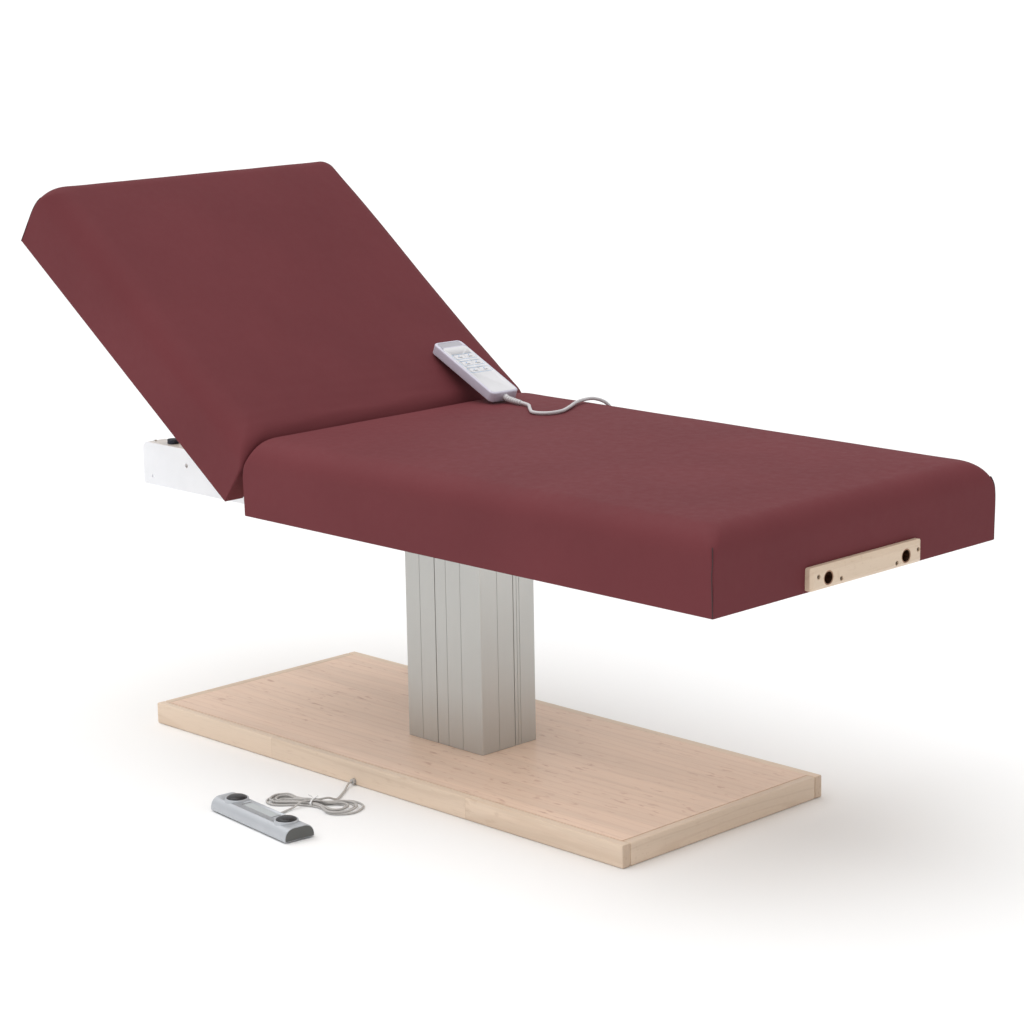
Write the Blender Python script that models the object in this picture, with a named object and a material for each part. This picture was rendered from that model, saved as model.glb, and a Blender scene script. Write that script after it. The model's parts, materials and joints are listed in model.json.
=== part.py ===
"""Electric pedestal massage table with a powered lift-back, a handset and a foot switch.

Metres, +Z up. The origin is on the floor under the middle of the lift column.
+X runs along the table to the foot end, and the near long side faces -Y.
The table is at its lowest height, and its backrest is raised.
"""

from math import asin, cos, pi, radians, sin, tan

import bmesh
import bpy
from mathutils import Matrix, Vector

GAP = 0.0003  # left between pieces that touch

# Base: a framed maple board.
BASE_LENGTH = 1.3216
BASE_WIDTH = 0.5454
BASE_HEIGHT = 0.0432
BASE_RAIL = 0.020
BASE_EDGE_RADIUS = 0.003

# Telescopic lift column, outer sizes of each stage.
COLUMN_OUTER = (0.211, 0.147)
COLUMN_MIDDLE = (0.191, 0.127)
COLUMN_INNER = (0.173, 0.109)
OUTER_WALL = 0.006
INNER_WALL = 0.005
OUTER_TOP = 0.470
MIDDLE_SPAN = (0.070, 0.474)
INNER_SPAN = (0.090, 0.4814)
GUIDE_HEIGHT = 0.040
GROOVES_LONG_FACE = (-0.063, -0.020, 0.011, 0.051)
GROOVES_END_FACE = (-0.028, 0.015, 0.024, 0.031)
GROOVE_WIDE = 0.0024
GROOVE_NARROW = 0.0010
GROOVE_DEPTH = 0.0018

# Lying surface: seat section and backrest section, each a deck with upholstery over it.
TOP_WIDTH = 0.762
PAD_BOTTOM = 0.521
PAD_TOP = 0.671
DECK_TOP = 0.600
DECK_BOTTOM = 0.588
FRAME_BOTTOM = 0.5235
SEAT_HEAD_END = -0.217
SEAT_FOOT_END = 0.965
BACK_LENGTH = 0.781
SKIRT = 0.004
WOOD = 0.020
EDGE_RADIUS = 0.045
CORNER_RADIUS = 0.018  # upright corners, at the top of the sides
CORNER_RADIUS_LOW = 0.005  # and where they cover the wooden frame
CREASE_NOTCH = 0.335  # half width of the opening in the end skirts at the crease
RETURN_INNER = 0.240  # the deck frames' short returns start here, outside the steel rails

# Backrest hinge.
PIVOT = Vector((-0.222, 0.0, 0.599))
REST_ANGLE = radians(35.8)
RELIEF = radians(38.0)  # each pad's crease face leans back by this, for the most upright pose
HINGE_Y = 0.300
HINGE_WIDTH = 0.060
KNUCKLE_RADIUS = 0.0035
PIN_RADIUS = 0.0018

# Steel frame under the deck.
RAIL_Y = 0.220
RAIL_SPAN = (-0.738, 0.600)
RAIL_Z = (0.490, 0.578)
RAIL_STEEL = 0.0035
RAIL_FLANGE = 0.045
PLATE = ((-0.130, -0.215, 0.4817), (0.130, 0.215, 0.4897))

# Outlet plate at the foot end, with its two peg sockets.
OUTLET_WIDTH = 0.299
OUTLET_Z = (0.525, 0.565)
OUTLET_PROUD = 0.012
SOCKET_Y = 0.10475
SOCKET_Z = 0.5425
SOCKET_BORE = 0.0105
SOCKET_OUTER = 0.0125

# Backrest drive: a slotted yoke on the actuator rod carries the lever's pin.
LEVER_ARM = 0.100
DRIVE_Z = 0.510
ROD_RADIUS = 0.009
LEVER_PIN_RADIUS = 0.005
YOKE_SLOT_WIDTH = 0.014

# Handset, leaning from the seat on to the backrest.
HANDSET_LENGTH = 0.210
HANDSET_WIDTH = 0.070
HANDSET_THICK = 0.022
HANDSET_SPLIT = 0.011
HANDSET_FOOT = Vector((-0.115, 0.215, PAD_TOP + 0.0012))
HANDSET_TILT = radians(22.76)
HANDSET_HEADING = 0.10
HANDSET_BUTTON = (0.021, 0.015, 0.0026)
HANDSET_BUTTON_ROWS = (0.146, 0.119, 0.092)  # distances from the lower end
HANDSET_BUTTON_Y = 0.0125
HANDSET_CORD = 0.007
HANDSET_SOCKET = Vector((0.110, 0.2362, 0.514))
HANDSET_CORD_ROUTE = (
    (-0.0595, 0.2086, 0.6764), (-0.0480, 0.2077, 0.6757), (-0.030, 0.201, 0.6752), (-0.003, 0.177, 0.6752),
    (0.030, 0.153, 0.6752), (0.058, 0.164, 0.6752), (0.063, 0.198, 0.6752),
    (0.044, 0.240, 0.6752), (0.020, 0.282, 0.6752), (0.008, 0.318, 0.6752),
    (0.012, 0.345, 0.6744), (0.022, 0.3705, 0.6622), (0.029, 0.3855, 0.6340),
    (0.032, 0.3895, 0.590), (0.036, 0.3905, 0.530), (0.042, 0.3895, 0.460),
    (0.052, 0.386, 0.395), (0.068, 0.377, 0.345), (0.090, 0.360, 0.318),
    (0.112, 0.336, 0.316), (0.128, 0.312, 0.342), (0.134, 0.294, 0.388),
    (0.130, 0.281, 0.440), (0.120, 0.268, 0.488), (0.112, 0.254, 0.511),
    (0.110, 0.2362, 0.514),
)

# Foot switch on the floor beside the base.
FOOT_SWITCH_CENTRE = Vector((0.003, -0.541, 0.0))
FOOT_SWITCH_TURN = radians(-6.5)
FOOT_SWITCH_LENGTH = 0.250
FOOT_SWITCH_DEPTH = 0.064
FOOT_SWITCH_HEIGHT = 0.027
FOOT_BUTTON_X = 0.083
FOOT_BUTTON_RADIUS = 0.0190
FOOT_BUTTON_WELL = 0.0195
FOOT_PEDESTAL_RADIUS = 0.0225
FOOT_PEDESTAL_RISE = 0.003
FOOT_BUTTON_CROWN = 0.0040
FOOT_CORD = 0.004
GLAND = Vector((-0.045, -BASE_WIDTH / 2, 0.0070))
HANK_CENTRE = Vector((-0.007, -0.4065, 0.0))
HANK_TURN = radians(22.1)
HANK_HEIGHT = 0.0125
HANK_LOBES = ((0.057, 0.043), (-0.068, 0.031))  # each end's centre along the hank, and its radius
HANK_WAIST = 0.0155  # half width where the tie holds it
TIE_HALF = 0.0045
TIE_THICK = 0.0012
FOOT_LEAD_ROUTE = (
    (-0.0086, -0.5050, 0.0090), (-0.0084, -0.4980, 0.0070), (-0.0100, -0.4880, 0.0040),
    (-0.0130, -0.4760, 0.0026), (-0.0160, -0.4640, 0.0025), (-0.0170, -0.4530, 0.0030),
    (-0.0165, -0.4440, 0.0050),
)
FOOT_TAIL_ROUTE = (
    (0.0052, -0.3663, 0.0050), (0.0026, -0.3570, 0.0030), (-0.0050, -0.3440, 0.0025),
    (-0.0160, -0.3280, 0.0025), (-0.0280, -0.3110, 0.0026), (-0.0390, -0.2960, 0.0045),
    (-0.0440, -0.2860, 0.0066), (-0.0450, -0.2790, 0.0070),
)


# ---------------------------------------------------------------- tools

def clear_scene():
    for obj in list(bpy.data.objects):
        bpy.data.objects.remove(obj, do_unlink=True)


def material(name, colour, roughness, metallic=0.0):
    mat = bpy.data.materials.new(name)
    mat.use_nodes = True
    shader = mat.node_tree.nodes["Principled BSDF"]
    shader.inputs["Base Color"].default_value = (*colour, 1.0)
    shader.inputs["Roughness"].default_value = roughness
    shader.inputs["Metallic"].default_value = metallic
    mat.diffuse_color = (*colour, 1.0)
    return mat


def empty(name, location, rotation=(0.0, 0.0, 0.0)):
    obj = bpy.data.objects.new(name, None)
    obj.location = location
    obj.rotation_euler = rotation
    bpy.context.scene.collection.objects.link(obj)
    return obj


def add(name, shape, mat=None, parent=None, origin=(0.0, 0.0, 0.0), smooth=False):
    """Makes a named object from a bmesh; its mesh is stored about origin."""
    bmesh.ops.recalc_face_normals(shape, faces=shape.faces)
    bmesh.ops.translate(shape, vec=-Vector(origin), verts=shape.verts)
    mesh = bpy.data.meshes.new(name)
    shape.to_mesh(mesh)
    shape.free()
    if smooth:
        mesh.shade_smooth()
        mesh.set_sharp_from_angle(angle=radians(35))
    if mat:
        mesh.materials.append(mat)
    obj = bpy.data.objects.new(name, mesh)
    bpy.context.scene.collection.objects.link(obj)
    if parent:
        obj.parent = parent
        obj.location = Vector(origin) - parent.location
    else:
        obj.location = origin
    return obj


def helper(obj):
    """Marks an object as a cutter or a piece to be joined on, not a part."""
    obj.hide_render = True
    obj.display_type = "WIRE"
    return obj


def boolean(obj, other, operation):
    mod = obj.modifiers.new(f"{operation.lower()} {other.name}", "BOOLEAN")
    mod.operation = operation
    mod.object = helper(other)
    return obj


def cut(obj, *cutters):
    for cutter in cutters:
        boolean(obj, cutter, "DIFFERENCE")
    return obj


def join(obj, *others):
    for other in others:
        boolean(obj, other, "UNION")
    return obj


def bevel(obj, width, segments=2, angle=30.0):
    mod = obj.modifiers.new("edge", "BEVEL")
    mod.width = width
    mod.segments = segments
    mod.limit_method = "ANGLE"
    mod.angle_limit = radians(angle)
    return obj


def arc(x, y, radius, start, end, steps):
    """Points along an arc, with angles in degrees."""
    turns = [radians(start + (end - start) * i / steps) for i in range(steps + 1)]
    return [(x + radius * cos(t), y + radius * sin(t)) for t in turns]


def rounded(x0, y0, x1, y1, radius, steps=3):
    """Outline of a rectangle with rounded corners."""
    r = radius
    return (arc(x1 - r, y1 - r, r, 0, 90, steps) + arc(x0 + r, y1 - r, r, 90, 180, steps)
            + arc(x0 + r, y0 + r, r, 180, 270, steps) + arc(x1 - r, y0 + r, r, 270, 360, steps))


def prism(outline, axis, start, end):
    """Extrudes an outline along an axis. It is in XY for Z, in XZ for Y, and in YZ for X."""
    place = {
        "X": lambda a, b: (start, a, b),
        "Y": lambda a, b: (a, start, b),
        "Z": lambda a, b: (a, b, start),
    }[axis]
    shape = bmesh.new()
    face = shape.faces.new([shape.verts.new(place(a, b)) for a, b in outline])
    out = bmesh.ops.extrude_face_region(shape, geom=[face])
    new = [v for v in out["geom"] if isinstance(v, bmesh.types.BMVert)]
    step = Vector([end - start if axis == letter else 0.0 for letter in "XYZ"])
    bmesh.ops.translate(shape, vec=step, verts=new)
    return shape


def box(low, high):
    outline = [(low[0], low[1]), (high[0], low[1]), (high[0], high[1]), (low[0], high[1])]
    return prism(outline, "Z", low[2], high[2])


def rod(centre, axis, radius, start, end, steps=20):
    """A cylinder along an axis; centre gives its place in the other two directions."""
    return prism(arc(centre[0], centre[1], radius, 0, 360, steps)[:-1], axis, start, end)


def ring(outer, inner, axis, start, end):
    """A tube whose outer and inner outlines have the same number of points."""
    place = {
        "X": lambda p, at: (at, p[0], p[1]),
        "Y": lambda p, at: (p[0], at, p[1]),
        "Z": lambda p, at: (p[0], p[1], at),
    }[axis]
    shape = bmesh.new()
    loops = [
        [shape.verts.new(place(p, at)) for p in outline]
        for outline, at in ((outer, start), (outer, end), (inner, end), (inner, start))
    ]
    count = len(outer)
    for a, b in zip(loops, loops[1:] + loops[:1]):
        for i in range(count):
            j = (i + 1) % count
            shape.faces.new((a[i], a[j], b[j], b[i]))
    return shape


def pipe(centre, axis, outer, inner, start, end, steps=24):
    outlines = [arc(centre[0], centre[1], r, 0, 360, steps)[:-1] for r in (outer, inner)]
    return ring(*outlines, axis, start, end)


def smooth_route(points, spacing):
    """Evenly spaced points on one smooth curve through the route's own points."""
    points = [Vector(p) for p in points]
    padded = [2 * points[0] - points[1], *points, 2 * points[-1] - points[-2]]
    dense = []
    for a, b, c, d in zip(padded, padded[1:], padded[2:], padded[3:]):
        for i in range(24):
            t = i / 24
            dense.append(0.5 * (2 * b + (c - a) * t + (2 * a - 5 * b + 4 * c - d) * t * t
                                + (3 * b - a - 3 * c + d) * t ** 3))
    dense.append(points[-1])
    total = sum((b - a).length for a, b in zip(dense, dense[1:]))
    step = total / round(total / spacing)
    route = [dense[0]]
    walked = 0.0
    for a, b in zip(dense, dense[1:]):
        length = (b - a).length
        while walked + length >= step * len(route) - 1e-9 and len(route) * step < total - step / 2:
            route.append(a.lerp(b, (step * len(route) - walked) / length))
        walked += length
    route.append(dense[-1])
    return route


def cord(name, points, diameter, mat):
    route = smooth_route(points, 2.6 * diameter)
    curve = bpy.data.curves.new(name, "CURVE")
    curve.dimensions = "3D"
    curve.bevel_depth = diameter / 2
    curve.bevel_resolution = 2
    curve.use_fill_caps = True
    spline = curve.splines.new("POLY")
    spline.points.add(len(route) - 1)
    for point, at in zip(spline.points, route):
        point.co = (*at, 1.0)
    curve.materials.append(mat)
    obj = bpy.data.objects.new(name, curve)
    bpy.context.scene.collection.objects.link(obj)
    return obj


def flat(x):
    """A length along the backrest, counted from its crease end, as X when it lies flat."""
    return 2 * PIVOT.x - SEAT_HEAD_END - x


# ---------------------------------------------------------------- base and column

def base():
    panel_wood = material("maple_veneer", (0.74, 0.55, 0.42), 0.45)
    rail_wood = material("maple_rail", (0.82, 0.66, 0.50), 0.42)
    x, y = BASE_LENGTH / 2, BASE_WIDTH / 2
    inner_x, inner_y = x - BASE_RAIL, y - BASE_RAIL
    panel_low = (GAP - inner_x, GAP - inner_y, 0.0)
    panel_high = (inner_x - GAP, inner_y - GAP, BASE_HEIGHT - GAP)
    add("base_panel", box(panel_low, panel_high), panel_wood)
    front = add("base_rail_front", box((-x, -y, 0.0), (x, -inner_y, BASE_HEIGHT)), rail_wood)
    rear = add("base_rail_rear", box((-x, inner_y, 0.0), (x, y, BASE_HEIGHT)), rail_wood)
    end_y = inner_y - GAP
    head = add("base_rail_head", box((-x, -end_y, 0.0), (-inner_x, end_y, BASE_HEIGHT)), rail_wood)
    foot = add("base_rail_foot", box((inner_x, -end_y, 0.0), (x, end_y, BASE_HEIGHT)), rail_wood)
    notch = add("gland_notch", rod((GLAND.x, GLAND.z), "Y", 0.0062, -y - 0.01, -inner_y + 0.01, 16))
    bevel(front, BASE_EDGE_RADIUS)
    cut(front, notch)
    for rail in (rear, head, foot):
        bevel(rail, BASE_EDGE_RADIUS)


def grooved_outline():
    """The outer column's outline, with narrow and wide joint grooves in its four faces."""
    half_x, half_y = COLUMN_OUTER[0] / 2, COLUMN_OUTER[1] / 2
    radius = 0.0035

    def groove(at, wide):
        w = (GROOVE_WIDE if wide else GROOVE_NARROW) / 2
        depth = GROOVE_DEPTH if wide else GROOVE_DEPTH / 2
        return [(at - w, 0.0), (at - w * 0.6, depth), (at + w * 0.6, depth), (at + w, 0.0)]

    def face(grooves, wide_ones, half):
        points = []
        for at in grooves:
            points += groove(at, at in wide_ones)
        return [(along, -half + depth) for along, depth in points]

    front = face(GROOVES_LONG_FACE, GROOVES_LONG_FACE[1:2], half_y)
    end = face(GROOVES_END_FACE, GROOVES_END_FACE[1:2], half_x)
    outline = list(front)
    outline += arc(half_x - radius, radius - half_y, radius, -90, 0, 3)
    outline += [(-inset, along) for along, inset in end]
    outline += arc(half_x - radius, half_y - radius, radius, 0, 90, 3)
    outline += [(-a, -b) for a, b in front]
    outline += arc(radius - half_x, half_y - radius, radius, 90, 180, 3)
    outline += [(inset, -along) for along, inset in end]
    outline += arc(radius - half_x, radius - half_y, radius, 180, 270, 3)
    return outline


def stage(name, size, wall, low, high, mat):
    x, y = size[0] / 2, size[1] / 2
    outer = rounded(-x, -y, x, y, 0.006)
    inner = rounded(wall - x, wall - y, x - wall, y - wall, 0.004)
    return add(name, ring(outer, inner, "Z", low, high), mat, smooth=True)


def guide(name, outer_size, inner_size, top, mat):
    """A plastic collar that fills the clearance between two stages."""
    outlines = []
    for size, change, radius in ((outer_size, -GAP, 0.004), (inner_size, GAP, 0.006)):
        x, y = size[0] / 2 + change, size[1] / 2 + change
        outlines.append(rounded(-x, -y, x, y, radius))
    add(name, ring(*outlines, "Z", top - GUIDE_HEIGHT, top), mat)


def column():
    satin = material("anodised_aluminium", (0.62, 0.61, 0.58), 0.35, 1.0)
    slippery = material("guide_plastic", (0.06, 0.06, 0.06), 0.5)
    steel = material("zinc_steel", (0.55, 0.56, 0.57), 0.4, 1.0)
    motor_paint = material("motor_black", (0.03, 0.03, 0.035), 0.5)
    bottom = BASE_HEIGHT + GAP
    outer = add("column_outer", prism(grooved_outline(), "Z", bottom, OUTER_TOP), satin, smooth=True)
    bore_x, bore_y = COLUMN_OUTER[0] / 2 - OUTER_WALL, COLUMN_OUTER[1] / 2 - OUTER_WALL
    bore = rounded(-bore_x, -bore_y, bore_x, bore_y, 0.004)
    cut(outer, add("column_bore", prism(bore, "Z", 0.0, OUTER_TOP + 0.05)))
    stage("column_middle", COLUMN_MIDDLE, INNER_WALL, *MIDDLE_SPAN, satin)
    stage("column_inner", COLUMN_INNER, INNER_WALL, *INNER_SPAN, satin)
    guide("outer_stage_guide", (2 * bore_x, 2 * bore_y), COLUMN_MIDDLE, OUTER_TOP - 0.001, slippery)
    middle_bore = [side - 2 * INNER_WALL for side in COLUMN_MIDDLE]
    guide("middle_stage_guide", middle_bore, COLUMN_INNER, MIDDLE_SPAN[1] - 0.001, slippery)

    # Foot plate with its four bolt heads.
    plate_x, plate_y = bore_x - GAP, bore_y - GAP
    plate_top = bottom + 0.010
    plate_outline = rounded(-plate_x, -plate_y, plate_x, plate_y, 0.005)
    plate = add("column_foot_plate", prism(plate_outline, "Z", bottom, plate_top), steel)
    for i, (x, y) in enumerate([(a * 0.075, b * 0.045) for a in (-1, 1) for b in (-1, 1)]):
        join(plate, add(f"anchor_bolt_{i}", rod((x, y), "Z", 0.008, plate_top - 0.002, plate_top + 0.006, 6)))

    # Lift actuator: motor and outer tube, middle tube, push tube.
    motor = add("lift_motor", rod((0, 0), "Z", 0.040, plate_top + GAP, 0.160, 28), motor_paint, smooth=True)
    join(motor, add("lift_outer_tube", pipe((0, 0), "Z", 0.026, 0.0215, 0.158, 0.420)))
    add("lift_middle_tube", pipe((0, 0), "Z", 0.0205, 0.0165, 0.165, 0.460), steel, smooth=True)
    add("lift_push_tube", pipe((0, 0), "Z", 0.0155, 0.0110, 0.170, INNER_SPAN[1]), steel, smooth=True)


# ---------------------------------------------------------------- steel frame

def rail_web(name, side):
    """The rail's web, outlined in XZ, with its rounded head end."""
    low, high = RAIL_SPAN
    z0, z1 = RAIL_Z
    top, bottom = 0.016, 0.005
    outline = arc(low + top, z1 - top, top, 180, 90, 5)
    outline += [(high, z1), (high, z0)]
    outline += arc(low + bottom, z0 + bottom, bottom, 270, 180, 2)
    y0, y1 = sorted((side * RAIL_Y, side * (RAIL_Y - RAIL_STEEL)))
    return add(name, prism(outline, "Y", y0, y1), steel_white())


def steel_white():
    ready = bpy.data.materials.get("white_powder_coat")
    return ready or material("white_powder_coat", (0.87, 0.88, 0.93), 0.4)


def frame():
    low, high = RAIL_SPAN
    for side, word in ((-1, "front"), (1, "rear")):
        rail = rail_web(f"frame_rail_{word}", side)
        y0, y1 = sorted((side * (RAIL_Y - 0.001), side * (RAIL_Y - RAIL_FLANGE)))
        edges = (("top", RAIL_Z[1] - RAIL_STEEL, RAIL_Z[1]), ("low", RAIL_Z[0], RAIL_Z[0] + RAIL_STEEL))
        for edge, z0, z1 in edges:
            flange = box((low + 0.016, y0, z0), (high - 0.001, y1, z1))
            join(rail, add(f"{word}_{edge}_flange", flange))
        for x, z, radius in ((-0.709, 0.508, 0.0032), (-0.595, 0.544, 0.0048)):
            hole = rod((x, z), "Y", radius, side * (RAIL_Y + 0.01), side * (RAIL_Y - 0.01), 12)
            cut(rail, add(f"{word}_hole_{radius}", hole))
        bumper = rod((-0.665, side * 0.197), "Z", 0.012, RAIL_Z[1] + GAP, DECK_BOTTOM - 0.0008, 20)
        rubber = material("bumper_rubber", (0.02, 0.025, 0.04), 0.7)
        add(f"backrest_bumper_{word}", bumper, rubber, smooth=True)

    # Cross members: channels open towards the foot end, set inside the rails.
    reach = RAIL_Y - RAIL_STEEL - GAP
    z0, z1 = RAIL_Z[0] + RAIL_STEEL + GAP, RAIL_Z[1] - RAIL_STEEL - GAP
    for name, x in (("frame_cross_head", -0.700), ("frame_cross_middle", 0.2300)):
        t, depth = RAIL_STEEL, 0.035
        outline = [(x, z0), (x + depth, z0), (x + depth, z0 + t), (x + t, z0 + t),
                   (x + t, z1 - t), (x + depth, z1 - t), (x + depth, z1), (x, z1)]
        add(name, prism(outline, "Y", -reach, reach), steel_white())
    zinc = material("mounting_plate_steel", (0.5, 0.51, 0.52), 0.42, 1.0)
    add("top_mounting_plate", box(*PLATE), zinc)


# ---------------------------------------------------------------- decks and upholstery

def deck_frame(name, crease_x, far_x, mat, parent, origin):
    """Glued wooden frame: two side rails, a far rail, two short returns at the crease end."""
    side = 1 if far_x > crease_x else -1
    inset = SKIRT + GAP
    y_out = TOP_WIDTH / 2 - inset
    z0, z1 = FRAME_BOTTOM, DECK_BOTTOM - GAP
    near = crease_x + side * inset
    far = far_x - side * inset
    lo, hi = min(near, far), max(near, far)
    outer = [(lo, -y_out), (hi, -y_out), (hi, y_out), (lo, y_out)]
    obj = add(name, prism(outer, "Z", z0, z1), mat, parent, origin)
    x_inner = sorted((near + side * WOOD, far - side * WOOD))
    y_in = y_out - WOOD
    hollow = box((x_inner[0], -y_in, z0 - 0.01), (x_inner[1], y_in, z1 + 0.01))
    mouth_x = sorted((near - side * 0.01, near + side * (WOOD + 0.01)))
    mouth = box((mouth_x[0], -RETURN_INNER, z0 - 0.01), (mouth_x[1], RETURN_INNER, z1 + 0.01))
    cut(obj, add(f"{name}_hollow", hollow, None, parent, origin),
        add(f"{name}_mouth", mouth, None, parent, origin))
    return obj


def pad(name, crease_x, far_x, mat, parent, origin):
    """Upholstery: a foam block over the deck with a skirt down its sides and far end."""
    side = 1 if far_x > crease_x else -1
    y = TOP_WIDTH / 2
    lo, hi = min(crease_x, far_x), max(crease_x, far_x)
    levels = [(0.0, PAD_BOTTOM, CORNER_RADIUS_LOW), (0.0, DECK_TOP + 0.002, CORNER_RADIUS_LOW)]
    levels += [(EDGE_RADIUS * (1 - cos(t)), PAD_TOP - EDGE_RADIUS * (1 - sin(t)), CORNER_RADIUS)
               for t in (radians(90 * i / 4) for i in range(5))]
    shape = bmesh.new()
    loops = []
    for inset, z, radius in levels:
        outline = rounded(lo + inset, inset - y, hi - inset, y - inset, radius, 3)
        loops.append([shape.verts.new((a, b, z)) for a, b in outline])
    for low, high in zip(loops, loops[1:]):
        for i, vert in enumerate(low):
            j = (i + 1) % len(low)
            shape.faces.new((vert, low[j], high[j], high[i]))
    shape.faces.new(loops[0][::-1])
    shape.faces.new(loops[-1])
    obj = add(name, shape, mat, parent, origin)
    inner_y = y - SKIRT
    ends = sorted((crease_x + side * SKIRT, far_x - side * SKIRT))
    well = box((ends[0], -inner_y, PAD_BOTTOM - 0.02), (ends[1], inner_y, DECK_TOP + GAP))
    notch_x = sorted((crease_x - side * 0.02, crease_x + side * 0.01))
    notch = box((notch_x[0], -CREASE_NOTCH, PAD_BOTTOM - 0.02), (notch_x[1], CREASE_NOTCH, DECK_TOP + GAP))
    height = PAD_TOP - DECK_TOP + 0.03
    lean = side * height * tan(RELIEF)
    start = crease_x + side * 0.0005
    wedge = prism([(start, DECK_TOP), (start + lean, DECK_TOP + height),
                   (start - side * 0.05, DECK_TOP + height), (start - side * 0.05, DECK_TOP)],
                  "Y", -y - 0.02, y + 0.02)
    cut(obj, add(f"{name}_well", well, None, parent, origin),
        add(f"{name}_notch", notch, None, parent, origin),
        add(f"{name}_relief", wedge, None, parent, origin))
    return obj


def hinge_leaf(name, y, side, with_pin, mat, parent, origin):
    """Leaf plate on a deck frame's return, a strap up to its knuckle, and the knuckle."""
    half = HINGE_WIDTH / 2
    end = SEAT_HEAD_END - PIVOT.x
    near, far = end + 0.0015, end + SKIRT
    z_low, z_top = 0.545, 0.5975
    plate_x = sorted((PIVOT.x + side * near, PIVOT.x + side * far))
    plate = box((plate_x[0], y - half, z_low), (plate_x[1], y + half, z_top))
    obj = add(name, plate, mat, parent, origin)
    middle = (y - 0.012, y + 0.012)
    strap_x = sorted((PIVOT.x + side * 0.0028, PIVOT.x + side * (near + 0.001)))
    spans = (middle,) if with_pin else ((y - half, middle[0] - GAP), (middle[1] + GAP, y + half))
    for i, (y0, y1) in enumerate(spans):
        strap = box((strap_x[0], y0, 0.5950), (strap_x[1], y1, z_top))
        join(obj, add(f"{name}_strap_{i}", strap, None, parent, origin))
        knuckle = rod((PIVOT.x, PIVOT.z), "Y", KNUCKLE_RADIUS, y0, y1, 16)
        join(obj, add(f"{name}_knuckle_{i}", knuckle, None, parent, origin))
    if with_pin:
        pin = rod((PIVOT.x, PIVOT.z), "Y", PIN_RADIUS, y - half, y + half, 12)
        join(obj, add(f"{name}_pin", pin, None, parent, origin))
    else:
        bore = rod((PIVOT.x, PIVOT.z), "Y", PIN_RADIUS + 0.0004, y - half - 0.01, y + half + 0.01, 12)
        cut(obj, add(f"{name}_bore", bore, None, parent, origin))
    return obj


def seat(mats):
    zero = (0.0, 0.0, 0.0)
    wood_frame = deck_frame("seat_frame", SEAT_HEAD_END, SEAT_FOOT_END, mats["pine"], None, zero)
    for i, x in enumerate((-0.080, 0.180, 0.480)):
        y = TOP_WIDTH / 2 - 0.010
        batten = box((x, -y, RAIL_Z[1] + GAP), (x + 0.040, y, DECK_BOTTOM - GAP))
        join(wood_frame, add(f"seat_batten_{i}", batten))
    inset = SKIRT + GAP
    deck = box((SEAT_HEAD_END + inset, inset - TOP_WIDTH / 2, DECK_BOTTOM),
               (SEAT_FOOT_END - inset, TOP_WIDTH / 2 - inset, DECK_TOP))
    add("seat_deck", deck, mats["plywood"])
    cushion = pad("seat_pad", SEAT_HEAD_END, SEAT_FOOT_END, mats["vinyl"], None, zero)
    window = box((SEAT_FOOT_END - 0.02, -0.140, OUTLET_Z[0] + 0.003),
                 (SEAT_FOOT_END + 0.02, 0.140, OUTLET_Z[1] - 0.003))
    cut(cushion, add("seat_pad_window", window))

    # Maple outlet plate and the two metal peg sockets behind it.
    outer_x = SEAT_FOOT_END + GAP + OUTLET_PROUD
    outline = rounded(-OUTLET_WIDTH / 2, OUTLET_Z[0], OUTLET_WIDTH / 2, OUTLET_Z[1], 0.003, 2)
    outlet = add("outlet_plate", prism(outline, "X", SEAT_FOOT_END + GAP, outer_x), mats["maple"])
    socket_back = 0.900
    for side, word in ((-1, "front"), (1, "rear")):
        at = (side * SOCKET_Y, SOCKET_Z)
        for target, reach in ((outlet, 0.01), (wood_frame, 0.05)):
            bore = rod(at, "X", SOCKET_OUTER + GAP, socket_back - 0.02, outer_x + reach, 24)
            cut(target, add(f"{target.name}_bore_{word}", bore))
        sleeve = pipe(at, "X", SOCKET_OUTER, SOCKET_BORE, socket_back, outer_x - 0.0005)
        add(f"peg_socket_{word}", sleeve, mats["bronze"], smooth=True)
    for side, word in ((-1, "front"), (1, "rear")):
        hinge_leaf(f"hinge_seat_leaf_{word}", side * HINGE_Y, 1, True, mats["black_steel"], None, zero)


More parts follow.
